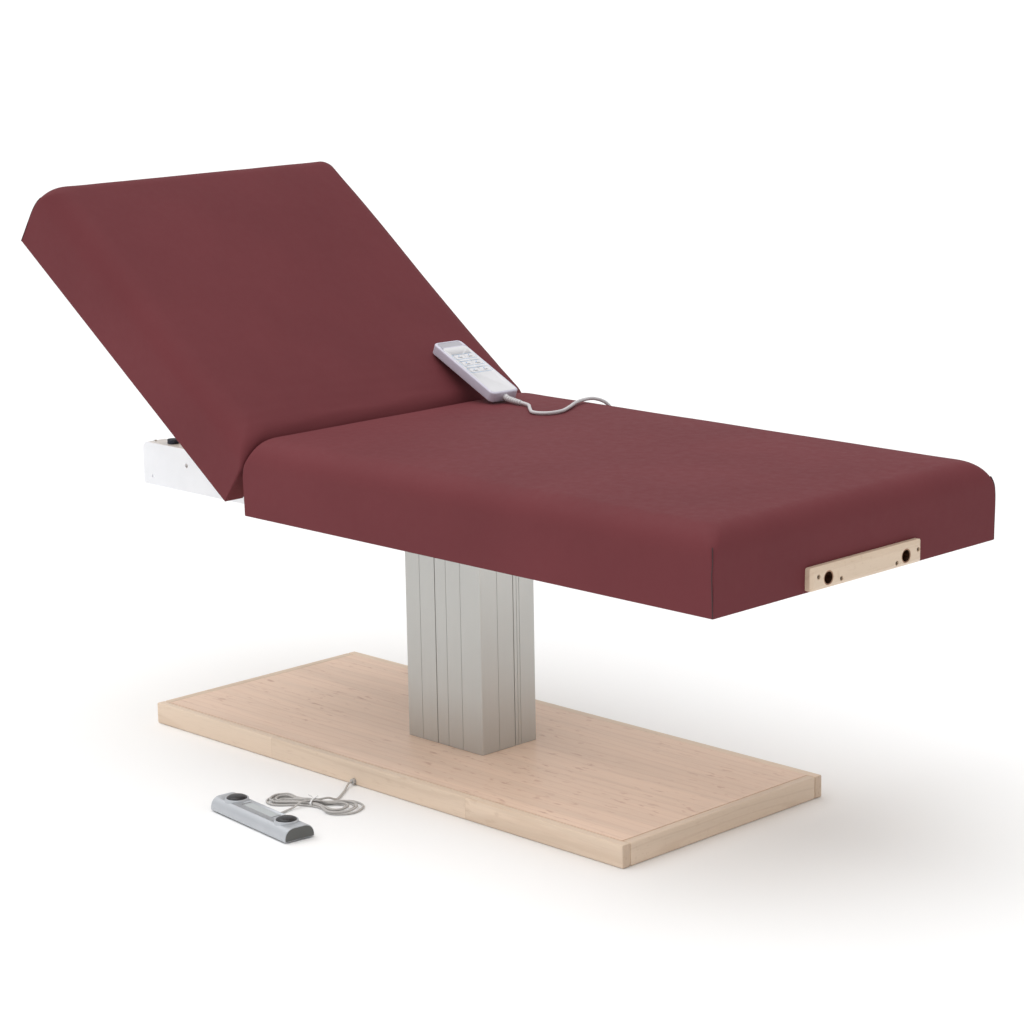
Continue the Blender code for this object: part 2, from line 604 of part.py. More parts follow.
def backrest(mats):
    carrier = empty("backrest_pivot", PIVOT, (0.0, REST_ANGLE, 0.0))
    crease, far = flat(0.0), flat(BACK_LENGTH)
    deck_frame("backrest_frame", crease, far, mats["pine"], carrier, PIVOT)
    inset = SKIRT + GAP
    half = TOP_WIDTH / 2 - inset
    deck = box((far + inset, -half, DECK_BOTTOM), (crease - inset, half, DECK_TOP))
    add("backrest_deck", deck, mats["plywood"], carrier, PIVOT)
    pad("backrest_pad", crease, far, mats["vinyl"], carrier, PIVOT)
    for side, word in ((-1, "front"), (1, "rear")):
        hinge_leaf(f"hinge_back_leaf_{word}", side * HINGE_Y, -1, False, mats["black_steel"], carrier, PIVOT)

    # Welded lift lever: foot flange under the deck, two cheeks, and the drive pin between them.
    pin = (PIVOT.x + LEVER_ARM * sin(REST_ANGLE), PIVOT.z - LEVER_ARM * cos(REST_ANGLE))
    foot_z = (DECK_BOTTOM - 0.0063, DECK_BOTTOM - GAP)
    lever = add("lift_lever", box((-0.350, -0.040, foot_z[0]), (-0.250, 0.040, foot_z[1])),
                mats["black_steel"], carrier, PIVOT)
    for side, word in ((-1, "front"), (1, "rear")):
        outline = [(-0.330, foot_z[0] + 0.003), (-0.330, foot_z[0] - 0.006)]
        outline += [(pin[0] - 0.060, pin[1] + 0.010)]
        outline += arc(pin[0], pin[1], 0.012, 235, 405, 6)
        outline += [(-0.255, foot_z[0] + 0.003)]
        y0, y1 = sorted((side * 0.0110, side * 0.0160))
        join(lever, add(f"lever_cheek_{word}", prism(outline, "Y", y0, y1), None, carrier, PIVOT))
    bar = rod(pin, "Y", LEVER_PIN_RADIUS, -0.0185, 0.0185, 16)
    join(lever, add("lever_pin", bar, None, carrier, PIVOT))


def drive(mats):
    """Actuator fixed under the seat, and the rod whose slotted yoke carries the lever's pin."""
    at = (0.0, DRIVE_Z)
    sleeve = pipe(at, "X", 0.018, ROD_RADIUS + 0.0008, -0.125, 0.1400)
    body = add("actuator_tube", sleeve, mats["silver"], smooth=True)
    join(body, add("actuator_tube_end", rod(at, "X", 0.0175, 0.100, 0.1395, 24)))
    gear_case = box((0.1403, -0.030, 0.4930), (0.2100, 0.098, 0.5440))
    gearbox = add("actuator_motor", gear_case, mats["black_plastic"])
    join(gearbox, add("actuator_lug", box((0.205, -0.012, 0.498), (0.2297, 0.012, 0.522))),
         add("actuator_can", rod((0.066, 0.5185), "X", 0.0215, 0.0100, 0.1450, 24)))
    pin_x = PIVOT.x
    half = 0.0180
    plate = rounded(pin_x - half, 0.476, pin_x + half, 0.547, 0.004, 2)
    yoke = add("actuator_rod", prism(plate, "Y", -0.0085, 0.0085), mats["silver"])
    slot_half = YOKE_SLOT_WIDTH / 2
    slot = rounded(pin_x - slot_half, 0.4875, pin_x + slot_half, 0.5335, slot_half - 0.0002, 5)
    join(yoke, add("rod_bar", rod(at, "X", ROD_RADIUS - 0.0005, pin_x + half - 0.002, pin_x + 0.240, 20)))
    cut(yoke, add("yoke_slot", prism(slot, "Y", -0.02, 0.02)))

    # Control box hung between the rails, its mains inlet, and the handset's socket on the rear rail.
    control = prism(rounded(0.320, 0.015, 0.500, 0.165, 0.006, 2), "Z", 0.500, 0.560)
    add("control_box", control, mats["black_plastic"])
    inlet_face = rounded(0.020, 0.514, 0.048, 0.538, 0.003, 2)
    inlet = add("mains_inlet", prism(inlet_face, "X", 0.5003, 0.512), mats["black_plastic"])
    cut(inlet, add("mains_inlet_well", box((0.503, 0.0235, 0.5175), (0.520, 0.0445, 0.5345))))
    socket = pipe((HANDSET_SOCKET.x, HANDSET_SOCKET.z), "Y", 0.0085, 0.0045,
                  RAIL_Y + GAP, HANDSET_SOCKET.y - GAP, 20)
    add("handset_socket", socket, mats["black_plastic"], smooth=True)


# ---------------------------------------------------------------- handset and its cord

def handset_place():
    """Turns handset axes (length, width, normal) into world ones, about its lower end's underside."""
    along = Vector((-cos(HANDSET_TILT) * cos(HANDSET_HEADING), cos(HANDSET_TILT) * sin(HANDSET_HEADING),
                    sin(HANDSET_TILT)))
    across = Vector((sin(HANDSET_HEADING), cos(HANDSET_HEADING), 0.0))
    normal = across.cross(along)
    turn = Matrix((along, across, normal)).transposed().to_4x4()
    return Matrix.Translation(HANDSET_FOOT) @ turn


def handset(mats):
    holder = bpy.data.objects.new("handset_place", None)
    holder.matrix_world = handset_place()
    bpy.context.scene.collection.objects.link(holder)
    half = HANDSET_WIDTH / 2

    def piece(name, shape, mat=None, smooth=False):
        obj = add(name, shape, mat, None, smooth=smooth)
        obj.parent = holder
        return obj

    back = rounded(0.0, -half, HANDSET_LENGTH, half, 0.010, 4)
    halves = (("back", 0.0, HANDSET_SPLIT - GAP / 2), ("front", HANDSET_SPLIT + GAP / 2, HANDSET_THICK))
    for word, z0, z1 in halves:
        shell = piece(f"handset_{word}_shell", prism(back, "Z", z0, z1), mats["lilac"])
        bevel(shell, 0.0022, 2, 60.0)
    length, width, depth = HANDSET_BUTTON
    number = 0
    for row in HANDSET_BUTTON_ROWS:
        for side in (-1, 1):
            number += 1
            y = side * HANDSET_BUTTON_Y
            lo = Vector((row - width / 2, y - length / 2, HANDSET_THICK + 0.0005 - depth))
            hi = Vector((row + width / 2, y + length / 2, HANDSET_THICK + 0.0005))
            key = prism(rounded(lo.x, lo.y, hi.x, hi.y, 0.003, 2), "Z", lo.z, hi.z)
            piece(f"handset_button_{number}", key, mats["face"])
            well = prism(rounded(lo.x - GAP, lo.y - GAP, hi.x + GAP, hi.y + GAP, 0.003 + GAP, 2), "Z",
                         lo.z - 0.0007, hi.z + 0.01)
            cut(shell, piece(f"button_well_{number}", well))

    # Ribbed strain relief that lies on the seat beyond the handset's lower end.
    start = Vector((-0.0995, 0.2118, 0.6795))
    end = Vector(HANDSET_CORD_ROUTE[0])
    step = (end - start).normalized()
    boot = bmesh.new()
    bmesh.ops.create_cone(boot, cap_ends=True, segments=16, radius1=0.0062, radius2=0.0044,
                          depth=(end - start).length - GAP)
    turn = step.to_track_quat("Z", "Y").to_matrix().to_4x4()
    middle = (start + end) / 2 - step * GAP / 2
    bmesh.ops.transform(boot, matrix=Matrix.Translation(middle) @ turn, verts=boot.verts)
    add("handset_strain_relief", boot, mats["cord_grey"], smooth=True)
    cord("handset_cord", HANDSET_CORD_ROUTE, HANDSET_CORD, mats["cord_grey"])


# ---------------------------------------------------------------- foot switch and its cord

def hank(mats):
    """The tied hank of spare cord as one solid: two lobes with a waist, which the tie goes round."""
    place = Matrix.Translation(HANK_CENTRE) @ Matrix.Rotation(HANK_TURN, 4, "Z")
    (right, right_radius), (left, left_radius) = HANK_LOBES
    outline = arc(right, 0.0, right_radius, -110, 110, 12) + [(0.012, HANK_WAIST), (-0.012, HANK_WAIST)]
    outline += arc(left, 0.0, left_radius, 75, 285, 12) + [(-0.012, -HANK_WAIST), (0.012, -HANK_WAIST)]
    solid = prism(outline, "Z", 0.0, HANK_HEIGHT)
    bmesh.ops.transform(solid, matrix=place, verts=solid.verts)
    bundle = add("foot_switch_hank", solid, mats["cord_thin"])

    def section(half, low, high):
        return [(-half, low), (half, low), (half, high), (-half, high)]

    inner = section(HANK_WAIST - TIE_THICK, TIE_THICK, HANK_HEIGHT - TIE_THICK)
    seat = ring(section(HANK_WAIST + 0.01, -0.01, HANK_HEIGHT + 0.01),
                section(HANK_WAIST - TIE_THICK - GAP, TIE_THICK + GAP, HANK_HEIGHT - TIE_THICK - GAP),
                "X", -TIE_HALF - GAP, TIE_HALF + GAP)
    bmesh.ops.transform(seat, matrix=place, verts=seat.verts)
    cut(bundle, add("tie_seat", seat))
    tie = ring(section(HANK_WAIST, 0.0, HANK_HEIGHT), inner, "X", -TIE_HALF, TIE_HALF)
    bmesh.ops.transform(tie, matrix=place, verts=tie.verts)
    add("cord_tie", tie, mats["face"])


def foot_switch(mats):
    place = empty("foot_switch_place", FOOT_SWITCH_CENTRE, (0.0, 0.0, FOOT_SWITCH_TURN))
    half_x, half_y = FOOT_SWITCH_LENGTH / 2, FOOT_SWITCH_DEPTH / 2

    def piece(name, shape, mat=None, smooth=False):
        obj = add(name, shape, mat, None, smooth=smooth)
        obj.parent = place
        return obj

    # D-shaped section: upright low sides under a shallow arch.
    lip, foot = 0.007, 0.0018
    rise = FOOT_SWITCH_HEIGHT - lip
    radius = (half_y ** 2 + rise ** 2) / (2 * rise)
    sweep = asin(half_y / radius) * 180 / pi
    section = arc(0.0, FOOT_SWITCH_HEIGHT - radius, radius, 90 - sweep, 90 + sweep, 12)
    section += [(-half_y, foot), (half_y, foot)]
    body = piece("foot_switch_housing", prism(section, "X", -half_x, half_x), mats["silver_plastic"])
    pedestal_top = FOOT_SWITCH_HEIGHT + FOOT_PEDESTAL_RISE
    for side, word in ((-1, "up"), (1, "down")):
        at = (side * FOOT_BUTTON_X, 0.0)
        collar = rod(at, "Z", FOOT_PEDESTAL_RADIUS, 0.006, pedestal_top, 28)
        join(body, piece(f"pedestal_{word}", collar))
        well = rod(at, "Z", FOOT_BUTTON_WELL, 0.010, pedestal_top + 0.01, 28)
        cut(body, piece(f"pedestal_well_{word}", well))
        dome = bmesh.new()
        profile = [(0.0, 0.0155), (FOOT_BUTTON_RADIUS, 0.0155), (FOOT_BUTTON_RADIUS, pedestal_top + 0.0008)]
        crown = FOOT_BUTTON_CROWN
        ball = (FOOT_BUTTON_RADIUS ** 2 + crown ** 2) / (2 * crown)
        for i in range(1, 5):
            r = FOOT_BUTTON_RADIUS * (1 - i / 4)
            profile.append((r, pedestal_top + 0.0008 + (ball ** 2 - r ** 2) ** 0.5 - (ball - crown)))
        verts = [dome.verts.new((at[0] + r, at[1], z)) for r, z in profile]
        edges = [dome.edges.new(pair) for pair in zip(verts, verts[1:])]
        centre = (at[0], at[1], 0)
        bmesh.ops.spin(dome, geom=verts + edges, axis=(0, 0, 1), cent=centre, steps=28, angle=2 * pi)
        bmesh.ops.remove_doubles(dome, verts=dome.verts, dist=1e-5)
        piece(f"foot_button_{word}", dome, mats["button_black"], smooth=True)
    pad_outline = rounded(0.006 - half_x, 0.005 - half_y, half_x - 0.006, half_y - 0.005, 0.004, 2)
    piece("foot_switch_pad", prism(pad_outline, "Z", 0.0, foot - GAP), mats["button_black"])

    hank(mats)
    cord("foot_switch_cord_lead", FOOT_LEAD_ROUTE, FOOT_CORD, mats["cord_thin"])
    cord("foot_switch_cord_tail", FOOT_TAIL_ROUTE, FOOT_CORD, mats["cord_thin"])
    y = -BASE_WIDTH / 2
    gland = pipe((GLAND.x, GLAND.z), "Y", 0.0055, 0.0024, y - 0.0057, y + 0.015, 16)
    add("foot_switch_gland", gland, mats["button_black"], smooth=True)


def main():
    clear_scene()
    mats = {
        "vinyl": material("burgundy_vinyl", (0.20, 0.050, 0.060), 0.5),
        "plywood": material("birch_plywood", (0.70, 0.55, 0.38), 0.6),
        "pine": material("frame_pine", (0.72, 0.56, 0.36), 0.6),
        "maple": material("maple_plate", (0.82, 0.66, 0.50), 0.4),
        "bronze": material("socket_bronze", (0.20, 0.12, 0.08), 0.4, 1.0),
        "black_steel": material("black_steel", (0.03, 0.03, 0.03), 0.45, 0.6),
        "silver": material("bright_steel", (0.7, 0.7, 0.7), 0.25, 1.0),
        "black_plastic": material("black_plastic", (0.03, 0.03, 0.035), 0.5),
        "lilac": material("handset_shell", (0.72, 0.70, 0.76), 0.4),
        "face": material("handset_face", (0.82, 0.82, 0.83), 0.35),
        "cord_grey": material("cord_grey", (0.70, 0.68, 0.68), 0.5),
        "cord_thin": material("cord_thin_grey", (0.50, 0.48, 0.46), 0.45),
        "silver_plastic": material("silver_plastic", (0.52, 0.53, 0.56), 0.35),
        "button_black": material("button_black", (0.02, 0.02, 0.025), 0.35),
    }
    base()
    column()
    frame()
    seat(mats)
    backrest(mats)
    drive(mats)
    handset(mats)
    foot_switch(mats)


main()
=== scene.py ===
"""Looks of the electric pedestal massage table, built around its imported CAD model.

Metres, in the row frame: the origin is on the floor under the lift column, +X points to the foot
end, +Z up, and the near long side faces -Y. Everything is placed from the CAD nodes' boxes.
"""

import json
from math import cos, pi, radians, sin, sqrt, tan

import bmesh
import bpy
import numpy as np
from mathutils import Matrix, Vector, noise


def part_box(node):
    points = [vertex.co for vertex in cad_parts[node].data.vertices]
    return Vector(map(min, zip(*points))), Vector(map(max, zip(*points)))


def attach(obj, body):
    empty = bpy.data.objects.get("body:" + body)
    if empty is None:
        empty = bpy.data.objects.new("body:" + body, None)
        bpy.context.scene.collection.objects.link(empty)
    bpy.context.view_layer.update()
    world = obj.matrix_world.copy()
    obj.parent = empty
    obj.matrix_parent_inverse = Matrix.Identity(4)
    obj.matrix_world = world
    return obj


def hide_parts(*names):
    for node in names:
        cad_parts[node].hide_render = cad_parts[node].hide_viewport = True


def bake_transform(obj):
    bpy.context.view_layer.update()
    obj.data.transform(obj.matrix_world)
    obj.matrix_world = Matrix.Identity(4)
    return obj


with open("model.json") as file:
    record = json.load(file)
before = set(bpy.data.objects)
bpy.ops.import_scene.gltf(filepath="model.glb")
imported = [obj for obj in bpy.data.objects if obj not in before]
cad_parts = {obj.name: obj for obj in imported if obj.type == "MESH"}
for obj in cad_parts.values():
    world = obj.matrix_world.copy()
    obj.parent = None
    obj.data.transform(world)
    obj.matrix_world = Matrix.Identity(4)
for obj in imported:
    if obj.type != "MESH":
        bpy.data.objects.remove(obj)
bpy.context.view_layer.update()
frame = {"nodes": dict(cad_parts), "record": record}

NODES = frame["nodes"]
JOINTS = {joint["name"]: joint for joint in frame["record"]["behaviour"]["joints"]}
SCENE = bpy.context.scene


# ---------------------------------------------------------------- mesh tools

def new_object(name, data):
    obj = bpy.data.objects.new(name, data)
    SCENE.collection.objects.link(obj)
    return obj


def shaded_object(name, mesh, smooth_angle):
    """An object whose edges below an angle in degrees look smooth; None leaves it faceted."""
    if smooth_angle:
        mesh.shade_smooth()
        mesh.set_sharp_from_angle(angle=radians(smooth_angle))
    return new_object(name, mesh)


def mesh_object(name, verts, faces, smooth_angle=40.0):
    mesh = bpy.data.meshes.new(name)
    mesh.from_pydata([tuple(v) for v in verts], [], faces)
    mesh.validate()
    return shaded_object(name, mesh, smooth_angle)


def bmesh_object(name, shape, smooth_angle=40.0):
    bmesh.ops.recalc_face_normals(shape, faces=shape.faces)
    mesh = bpy.data.meshes.new(name)
    shape.to_mesh(mesh)
    shape.free()
    return shaded_object(name, mesh, smooth_angle)


def dress(obj, look, body):
    """Gives a piece its material and the body that it moves with."""
    obj.data.materials.clear()
    obj.data.materials.append(look)
    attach(obj, body)


def modifier(obj, kind, **values):
    mod = obj.modifiers.new(kind.lower(), kind)
    for key, value in values.items():
        setattr(mod, key, value)
    return mod


def apply_modifiers(obj):
    """Replaces an object's mesh by its evaluated one, and removes its modifiers."""
    bpy.context.view_layer.update()
    graph = bpy.context.evaluated_depsgraph_get()
    mesh = bpy.data.meshes.new_from_object(obj.evaluated_get(graph), depsgraph=graph)
    obj.modifiers.clear()
    obj.data = mesh
    return obj


def remove(*objs):
    for obj in objs:
        bpy.data.objects.remove(obj, do_unlink=True)


def carve(obj, *cutters):
    """Cuts shapes out of an object for good."""
    for cutter in cutters:
        modifier(obj, "BOOLEAN", operation="DIFFERENCE", solver="EXACT", object=cutter)
    apply_modifiers(obj)
    remove(*cutters)
    return obj


def soften(obj, width, segments=3, angle=30.0):
    modifier(obj, "BEVEL", width=width, segments=segments, limit_method="ANGLE",
             angle_limit=radians(angle), harden_normals=True)
    return apply_modifiers(obj)


def arc(x, y, radius, start, end, steps):
    turns = [radians(start + (end - start) * i / steps) for i in range(steps + 1)]
    return [(x + radius * cos(t), y + radius * sin(t)) for t in turns]


def rounded(x0, y0, x1, y1, radius, steps=6):
    """Outline of a rectangle with rounded corners."""
    r = radius
    return (arc(x1 - r, y1 - r, r, 0, 90, steps) + arc(x0 + r, y1 - r, r, 90, 180, steps)
            + arc(x0 + r, y0 + r, r, 180, 270, steps) + arc(x1 - r, y0 + r, r, 270, 360, steps))


def rectangle(x0, y0, x1, y1):
    return [(x0, y0), (x1, y0), (x1, y1), (x0, y1)]


def prism(outline, axis, start, end):
    """Extrudes an outline along an axis. It is in XY for Z, in XZ for Y, and in YZ for X."""
    place = {
        "X": lambda a, b: (start, a, b),
        "Y": lambda a, b: (a, start, b),
        "Z": lambda a, b: (a, b, start),
    }[axis]
    shape = bmesh.new()
    face = shape.faces.new([shape.verts.new(place(a, b)) for a, b in outline])
    out = bmesh.ops.extrude_face_region(shape, geom=[face])
    new = [v for v in out["geom"] if isinstance(v, bmesh.types.BMVert)]
    step = Vector([end - start if axis == letter else 0.0 for letter in "XYZ"])
    bmesh.ops.translate(shape, vec=step, verts=new)
    return shape


def turned(profile, steps=48):
    """Spins a profile of (radius, z) points about Z."""
    shape = bmesh.new()
    verts = [shape.verts.new((r, 0.0, z)) for r, z in profile]
    edges = [shape.edges.new(pair) for pair in zip(verts, verts[1:])]
    bmesh.ops.spin(shape, geom=verts + edges, axis=(0, 0, 1), cent=(0, 0, 0), steps=steps, angle=2 * pi)
    bmesh.ops.remove_doubles(shape, verts=shape.verts, dist=1e-6)
    return shape


def moved(shape, matrix):
    bmesh.ops.transform(shape, matrix=matrix, verts=shape.verts)
    return shape


def slab(name, outline, bottom, top):
    """An upright piece with a given outline in XY."""
    return bmesh_object(name, prism(outline, "Z", bottom, top))


def turned_piece(name, profile, matrix, steps=48, smooth_angle=40.0):
    """A piece spun from its profile, and then put in its place."""
    return bmesh_object(name, moved(turned(profile, steps), matrix), smooth_angle)


def joined(shapes):
    """Puts several shapes that don't touch into one."""
    whole = bmesh.new()
    for shape in shapes:
        mesh = bpy.data.meshes.new("part")
        shape.to_mesh(mesh)
        shape.free()
        whole.from_mesh(mesh)
        bpy.data.meshes.remove(mesh)
    return whole


def skin_between(shape, loops):
    """Joins each closed loop of points to the next one with a band of quads."""
    for low, high in zip(loops, loops[1:]):
        for i, vert in enumerate(low):
            j = (i + 1) % len(low)
            shape.faces.new((vert, low[j], high[j], high[i]))


# ---------------------------------------------------------------- routes and tubes

def smooth_route(points, spacing):
    """Evenly spaced points on one smooth curve through the route's own points."""
    points = [Vector(p) for p in points]
    padded = [2 * points[0] - points[1], *points, 2 * points[-1] - points[-2]]
    dense = []
    for a, b, c, d in zip(padded, padded[1:], padded[2:], padded[3:]):
        for t in (i / 24 for i in range(24)):
            dense.append(0.5 * (2 * b + (c - a) * t + (2 * a - 5 * b + 4 * c - d) * t * t
                                + (3 * b - a - 3 * c + d) * t ** 3))
    dense.append(points[-1])
    lengths = np.array([0.0] + [(b - a).length for a, b in zip(dense, dense[1:])]).cumsum()
    count = max(2, round(lengths[-1] / spacing))
    coords = np.array(dense)
    at = np.linspace(0.0, lengths[-1], count + 1)
    return [Vector([np.interp(s, lengths, coords[:, k]) for k in range(3)]) for s in at]


def tube(name, route, radius, sides=12):
    """A closed tube round a route; radius is one number or one for each point of the route."""
    radii = radius if hasattr(radius, "__len__") else [radius] * len(route)
    tangents = [(route[min(i + 1, len(route) - 1)] - route[max(i - 1, 0)]).normalized()
                for i in range(len(route))]
    side = tangents[0].orthogonal().normalized()
    verts, faces = [], []
    for centre, tangent, r in zip(route, tangents, radii):
        side = (side - side.dot(tangent) * tangent).normalized()
        other = tangent.cross(side)
        for k in range(sides):
            turn = 2 * pi * k / sides
            verts.append(centre + r * (cos(turn) * side + sin(turn) * other))
    for i in range(len(route) - 1):
        for k in range(sides):
            a, b = i * sides + k, i * sides + (k + 1) % sides
            faces.append((a, b, b + sides, a + sides))
    faces.append(tuple(range(sides))[::-1])
    last = (len(route) - 1) * sides
    faces.append(tuple(last + k for k in range(sides)))
    return mesh_object(name, verts, faces, 50.0)


# ---------------------------------------------------------------- materials

class Look:
    """A Principled material, and the nodes that vary it in object coordinates (metres)."""

    def __init__(self, name, colour, roughness, metallic=0.0, **sockets):
        self.mat = bpy.data.materials.new(name)
        self.mat.use_nodes = True
        self.nodes = self.mat.node_tree.nodes
        self.links = self.mat.node_tree.links
        self.shader = self.nodes["Principled BSDF"]
        self.set("Base Color", (*colour, 1.0))
        self.set("Roughness", roughness)
        self.set("Metallic", metallic)
        for key, value in sockets.items():
            self.set(key.replace("_", " "), value)
        self.mat.diffuse_color = (*colour, 1.0)
        self.place = self.nodes.new("ShaderNodeTexCoord").outputs["Object"]

    def set(self, socket, value):
        self.shader.inputs[socket].default_value = value

    def drive(self, socket, output):
        self.links.new(output, self.shader.inputs[socket])

    def node(self, kind, inputs, **props):
        node = self.nodes.new(kind)
        for key, value in props.items():
            setattr(node, key, value)
        for key, value in inputs.items():
            if isinstance(value, bpy.types.NodeSocket):
                self.links.new(value, node.inputs[key])
            elif value is not None:
                node.inputs[key].default_value = value
        return node

    def stretch(self, scale, source=None):
        """Coordinates scaled so that a pattern is longer one way than another."""
        inputs = {"Vector": source or self.place, "Scale": scale}
        return self.node("ShaderNodeMapping", inputs).outputs["Vector"]

    def noise(self, scale, detail=3.0, rough=0.5, source=None, distortion=0.0):
        inputs = {"Vector": source or self.place, "Scale": scale, "Detail": detail,
                  "Roughness": rough, "Distortion": distortion}
        return self.node("ShaderNodeTexNoise", inputs).outputs["Fac"]

    def cells(self, scale):
        inputs = {"Vector": self.place, "Scale": scale}
        return self.node("ShaderNodeTexVoronoi", inputs, feature="SMOOTH_F1").outputs["Distance"]

    def waves(self, scale, source=None, distortion=2.0, detail=2.0, kind="BANDS", direction="X"):
        inputs = {"Vector": source or self.place, "Scale": scale, "Distortion": distortion,
                  "Detail": detail, "Detail Scale": 1.0}
        props = {"wave_type": kind, "bands_direction": direction}
        return self.node("ShaderNodeTexWave", inputs, **props).outputs["Fac"]

    def range(self, value, low, high, to_low=0.0, to_high=1.0):
        inputs = {"Value": value, "From Min": low, "From Max": high, "To Min": to_low, "To Max": to_high}
        return self.node("ShaderNodeMapRange", inputs, clamp=True).outputs["Result"]

    def maths(self, operation, a, b=None):
        node = self.node("ShaderNodeMath", {}, operation=operation)
        for socket, value in zip(node.inputs, (a, b)):
            if isinstance(value, bpy.types.NodeSocket):
                self.links.new(value, socket)
            elif value is not None:
                socket.default_value = value
        return node.outputs[0]

    def axis(self, letter):
        return self.node("ShaderNodeSeparateXYZ", {0: self.place}).outputs[letter]

    def mix(self, factor, a, b):
        """Mixes two colours; each is a tuple or another node's output."""
        node = self.nodes.new("ShaderNodeMix")
        node.data_type = "RGBA"
        colours = [s for s in node.inputs if s.type == "RGBA"]
        for socket, value in ((node.inputs["Factor"], factor), (colours[0], a), (colours[1], b)):
            if isinstance(value, bpy.types.NodeSocket):
                self.links.new(value, socket)
            elif isinstance(value, tuple):
                socket.default_value = (*value, 1.0)
            else:
                socket.default_value = value
        return next(s for s in node.outputs if s.type == "RGBA")

    def bump(self, height, depth, strength=1.0, under=None):
        """Raises the surface by height (0 to 1) times depth, in metres."""
        inputs = {"Height": height, "Distance": depth, "Strength": strength, "Normal": under}
        output = self.node("ShaderNodeBump", inputs).outputs["Normal"]
        self.drive("Normal", output)
        return output


def tint(colour, factor):
    return tuple(min(1.0, c * factor) for c in colour)


# ---------------------------------------------------------------- camera, light and stage

CAMERA_PLACE = Vector((3.7746, -3.5762, 1.6288))
CAMERA_YAW = radians(45.603)
CAMERA_PITCH = radians(-12.300)
CAMERA_ROLL = radians(-1.010)
CAMERA_LENS = 96.6

FLOOR_HALF = 240.0  # so wide that its far edge is outside the picture
FLOOR_DROP = 0.0004  # keeps the floor clear of the undersides that stand on it
SKY_STRENGTH = 0.60
SUN_FROM = Vector((-0.26, -0.16, 1.0))
SUN_STRENGTH, SUN_SPREAD = 2.0, radians(75.0)


def camera():
    forward = Vector((-cos(CAMERA_PITCH) * sin(CAMERA_YAW), cos(CAMERA_PITCH) * cos(CAMERA_YAW),
                      sin(CAMERA_PITCH)))
    right = forward.cross(Vector((0.0, 0.0, 1.0))).normalized()
    up = right.cross(forward)
    turn = Matrix((right, up, -forward)).transposed() @ Matrix.Rotation(CAMERA_ROLL, 3, "Z")
    lens = bpy.data.cameras.new("camera")
    lens.lens = CAMERA_LENS
    lens.sensor_width = 36.0
    lens.clip_start, lens.clip_end = 0.1, 60.0
    obj = new_object("camera", lens)
    obj.matrix_world = Matrix.Translation(CAMERA_PLACE) @ turn.to_4x4()
    SCENE.camera = obj


def area_light(name, place, target, size, power, colour=(1.0, 1.0, 1.0)):
    light = bpy.data.lights.new(name, "AREA")
    light.shape = "RECTANGLE"
    light.size, light.size_y = size
    light.energy = power
    light.color = colour
    obj = new_object(name, light)
    obj.location = place
    obj.rotation_euler = (Vector(target) - Vector(place)).to_track_quat("-Z", "Y").to_euler()
    obj.visible_camera = False


def stage():
    floor_look = Look("pale_floor", (0.93, 0.93, 0.93), 0.9, Specular_IOR_Level=0.1)
    shape = bmesh.new()
    bmesh.ops.create_grid(shape, x_segments=1, y_segments=1, size=FLOOR_HALF)
    floor = bmesh_object("floor", shape, None)
    floor.location.z = -FLOOR_DROP
    floor.data.materials.append(floor_look.mat)
    world = bpy.data.worlds.new("studio")
    world.use_nodes = True
    sky = world.node_tree.nodes["Background"]
    sky.inputs["Color"].default_value = (1.0, 1.0, 1.0, 1.0)
    sky.inputs["Strength"].default_value = SKY_STRENGTH
    SCENE.world = world
    sun = bpy.data.lights.new("sky_panel", "SUN")
    sun.energy, sun.angle = SUN_STRENGTH, SUN_SPREAD
    panel = new_object("sky_panel", sun)
    panel.rotation_euler = SUN_FROM.to_track_quat("Z", "Y").to_euler()
    area_light("front_box", (-1.0, -4.2, 1.1), (0.0, 0.0, 0.35), (4.5, 1.8), 9.0, (1.0, 0.99, 0.97))
    area_light("under_fill", (0.46, 0.0, 0.46), (0.46, 0.0, 0.0), (0.7, 0.5), 0.8)
    SCENE.view_settings.view_transform = "Standard"


# ---------------------------------------------------------------- cords

HANDSET_CORD_ROUTE = (
    (-0.0595, 0.2086, 0.6764), (-0.0480, 0.2077, 0.6757), (-0.030, 0.201, 0.6752), (-0.003, 0.177, 0.6752),
    (0.030, 0.153, 0.6752), (0.058, 0.164, 0.6752), (0.063, 0.198, 0.6752),
    (0.044, 0.240, 0.6752), (0.020, 0.282, 0.6752), (0.008, 0.318, 0.6752),
    (0.012, 0.345, 0.6744), (0.022, 0.3705, 0.6622), (0.029, 0.3855, 0.6340),
    (0.032, 0.3895, 0.590), (0.036, 0.3905, 0.530), (0.042, 0.3895, 0.460),
    (0.052, 0.386, 0.395), (0.068, 0.377, 0.345), (0.090, 0.360, 0.318),
    (0.112, 0.336, 0.316), (0.128, 0.312, 0.342), (0.134, 0.294, 0.388),
    (0.130, 0.281, 0.440), (0.120, 0.268, 0.488), (0.112, 0.254, 0.511),
    (0.110, 0.2362, 0.514),
)
HANDSET_CORD = 0.007

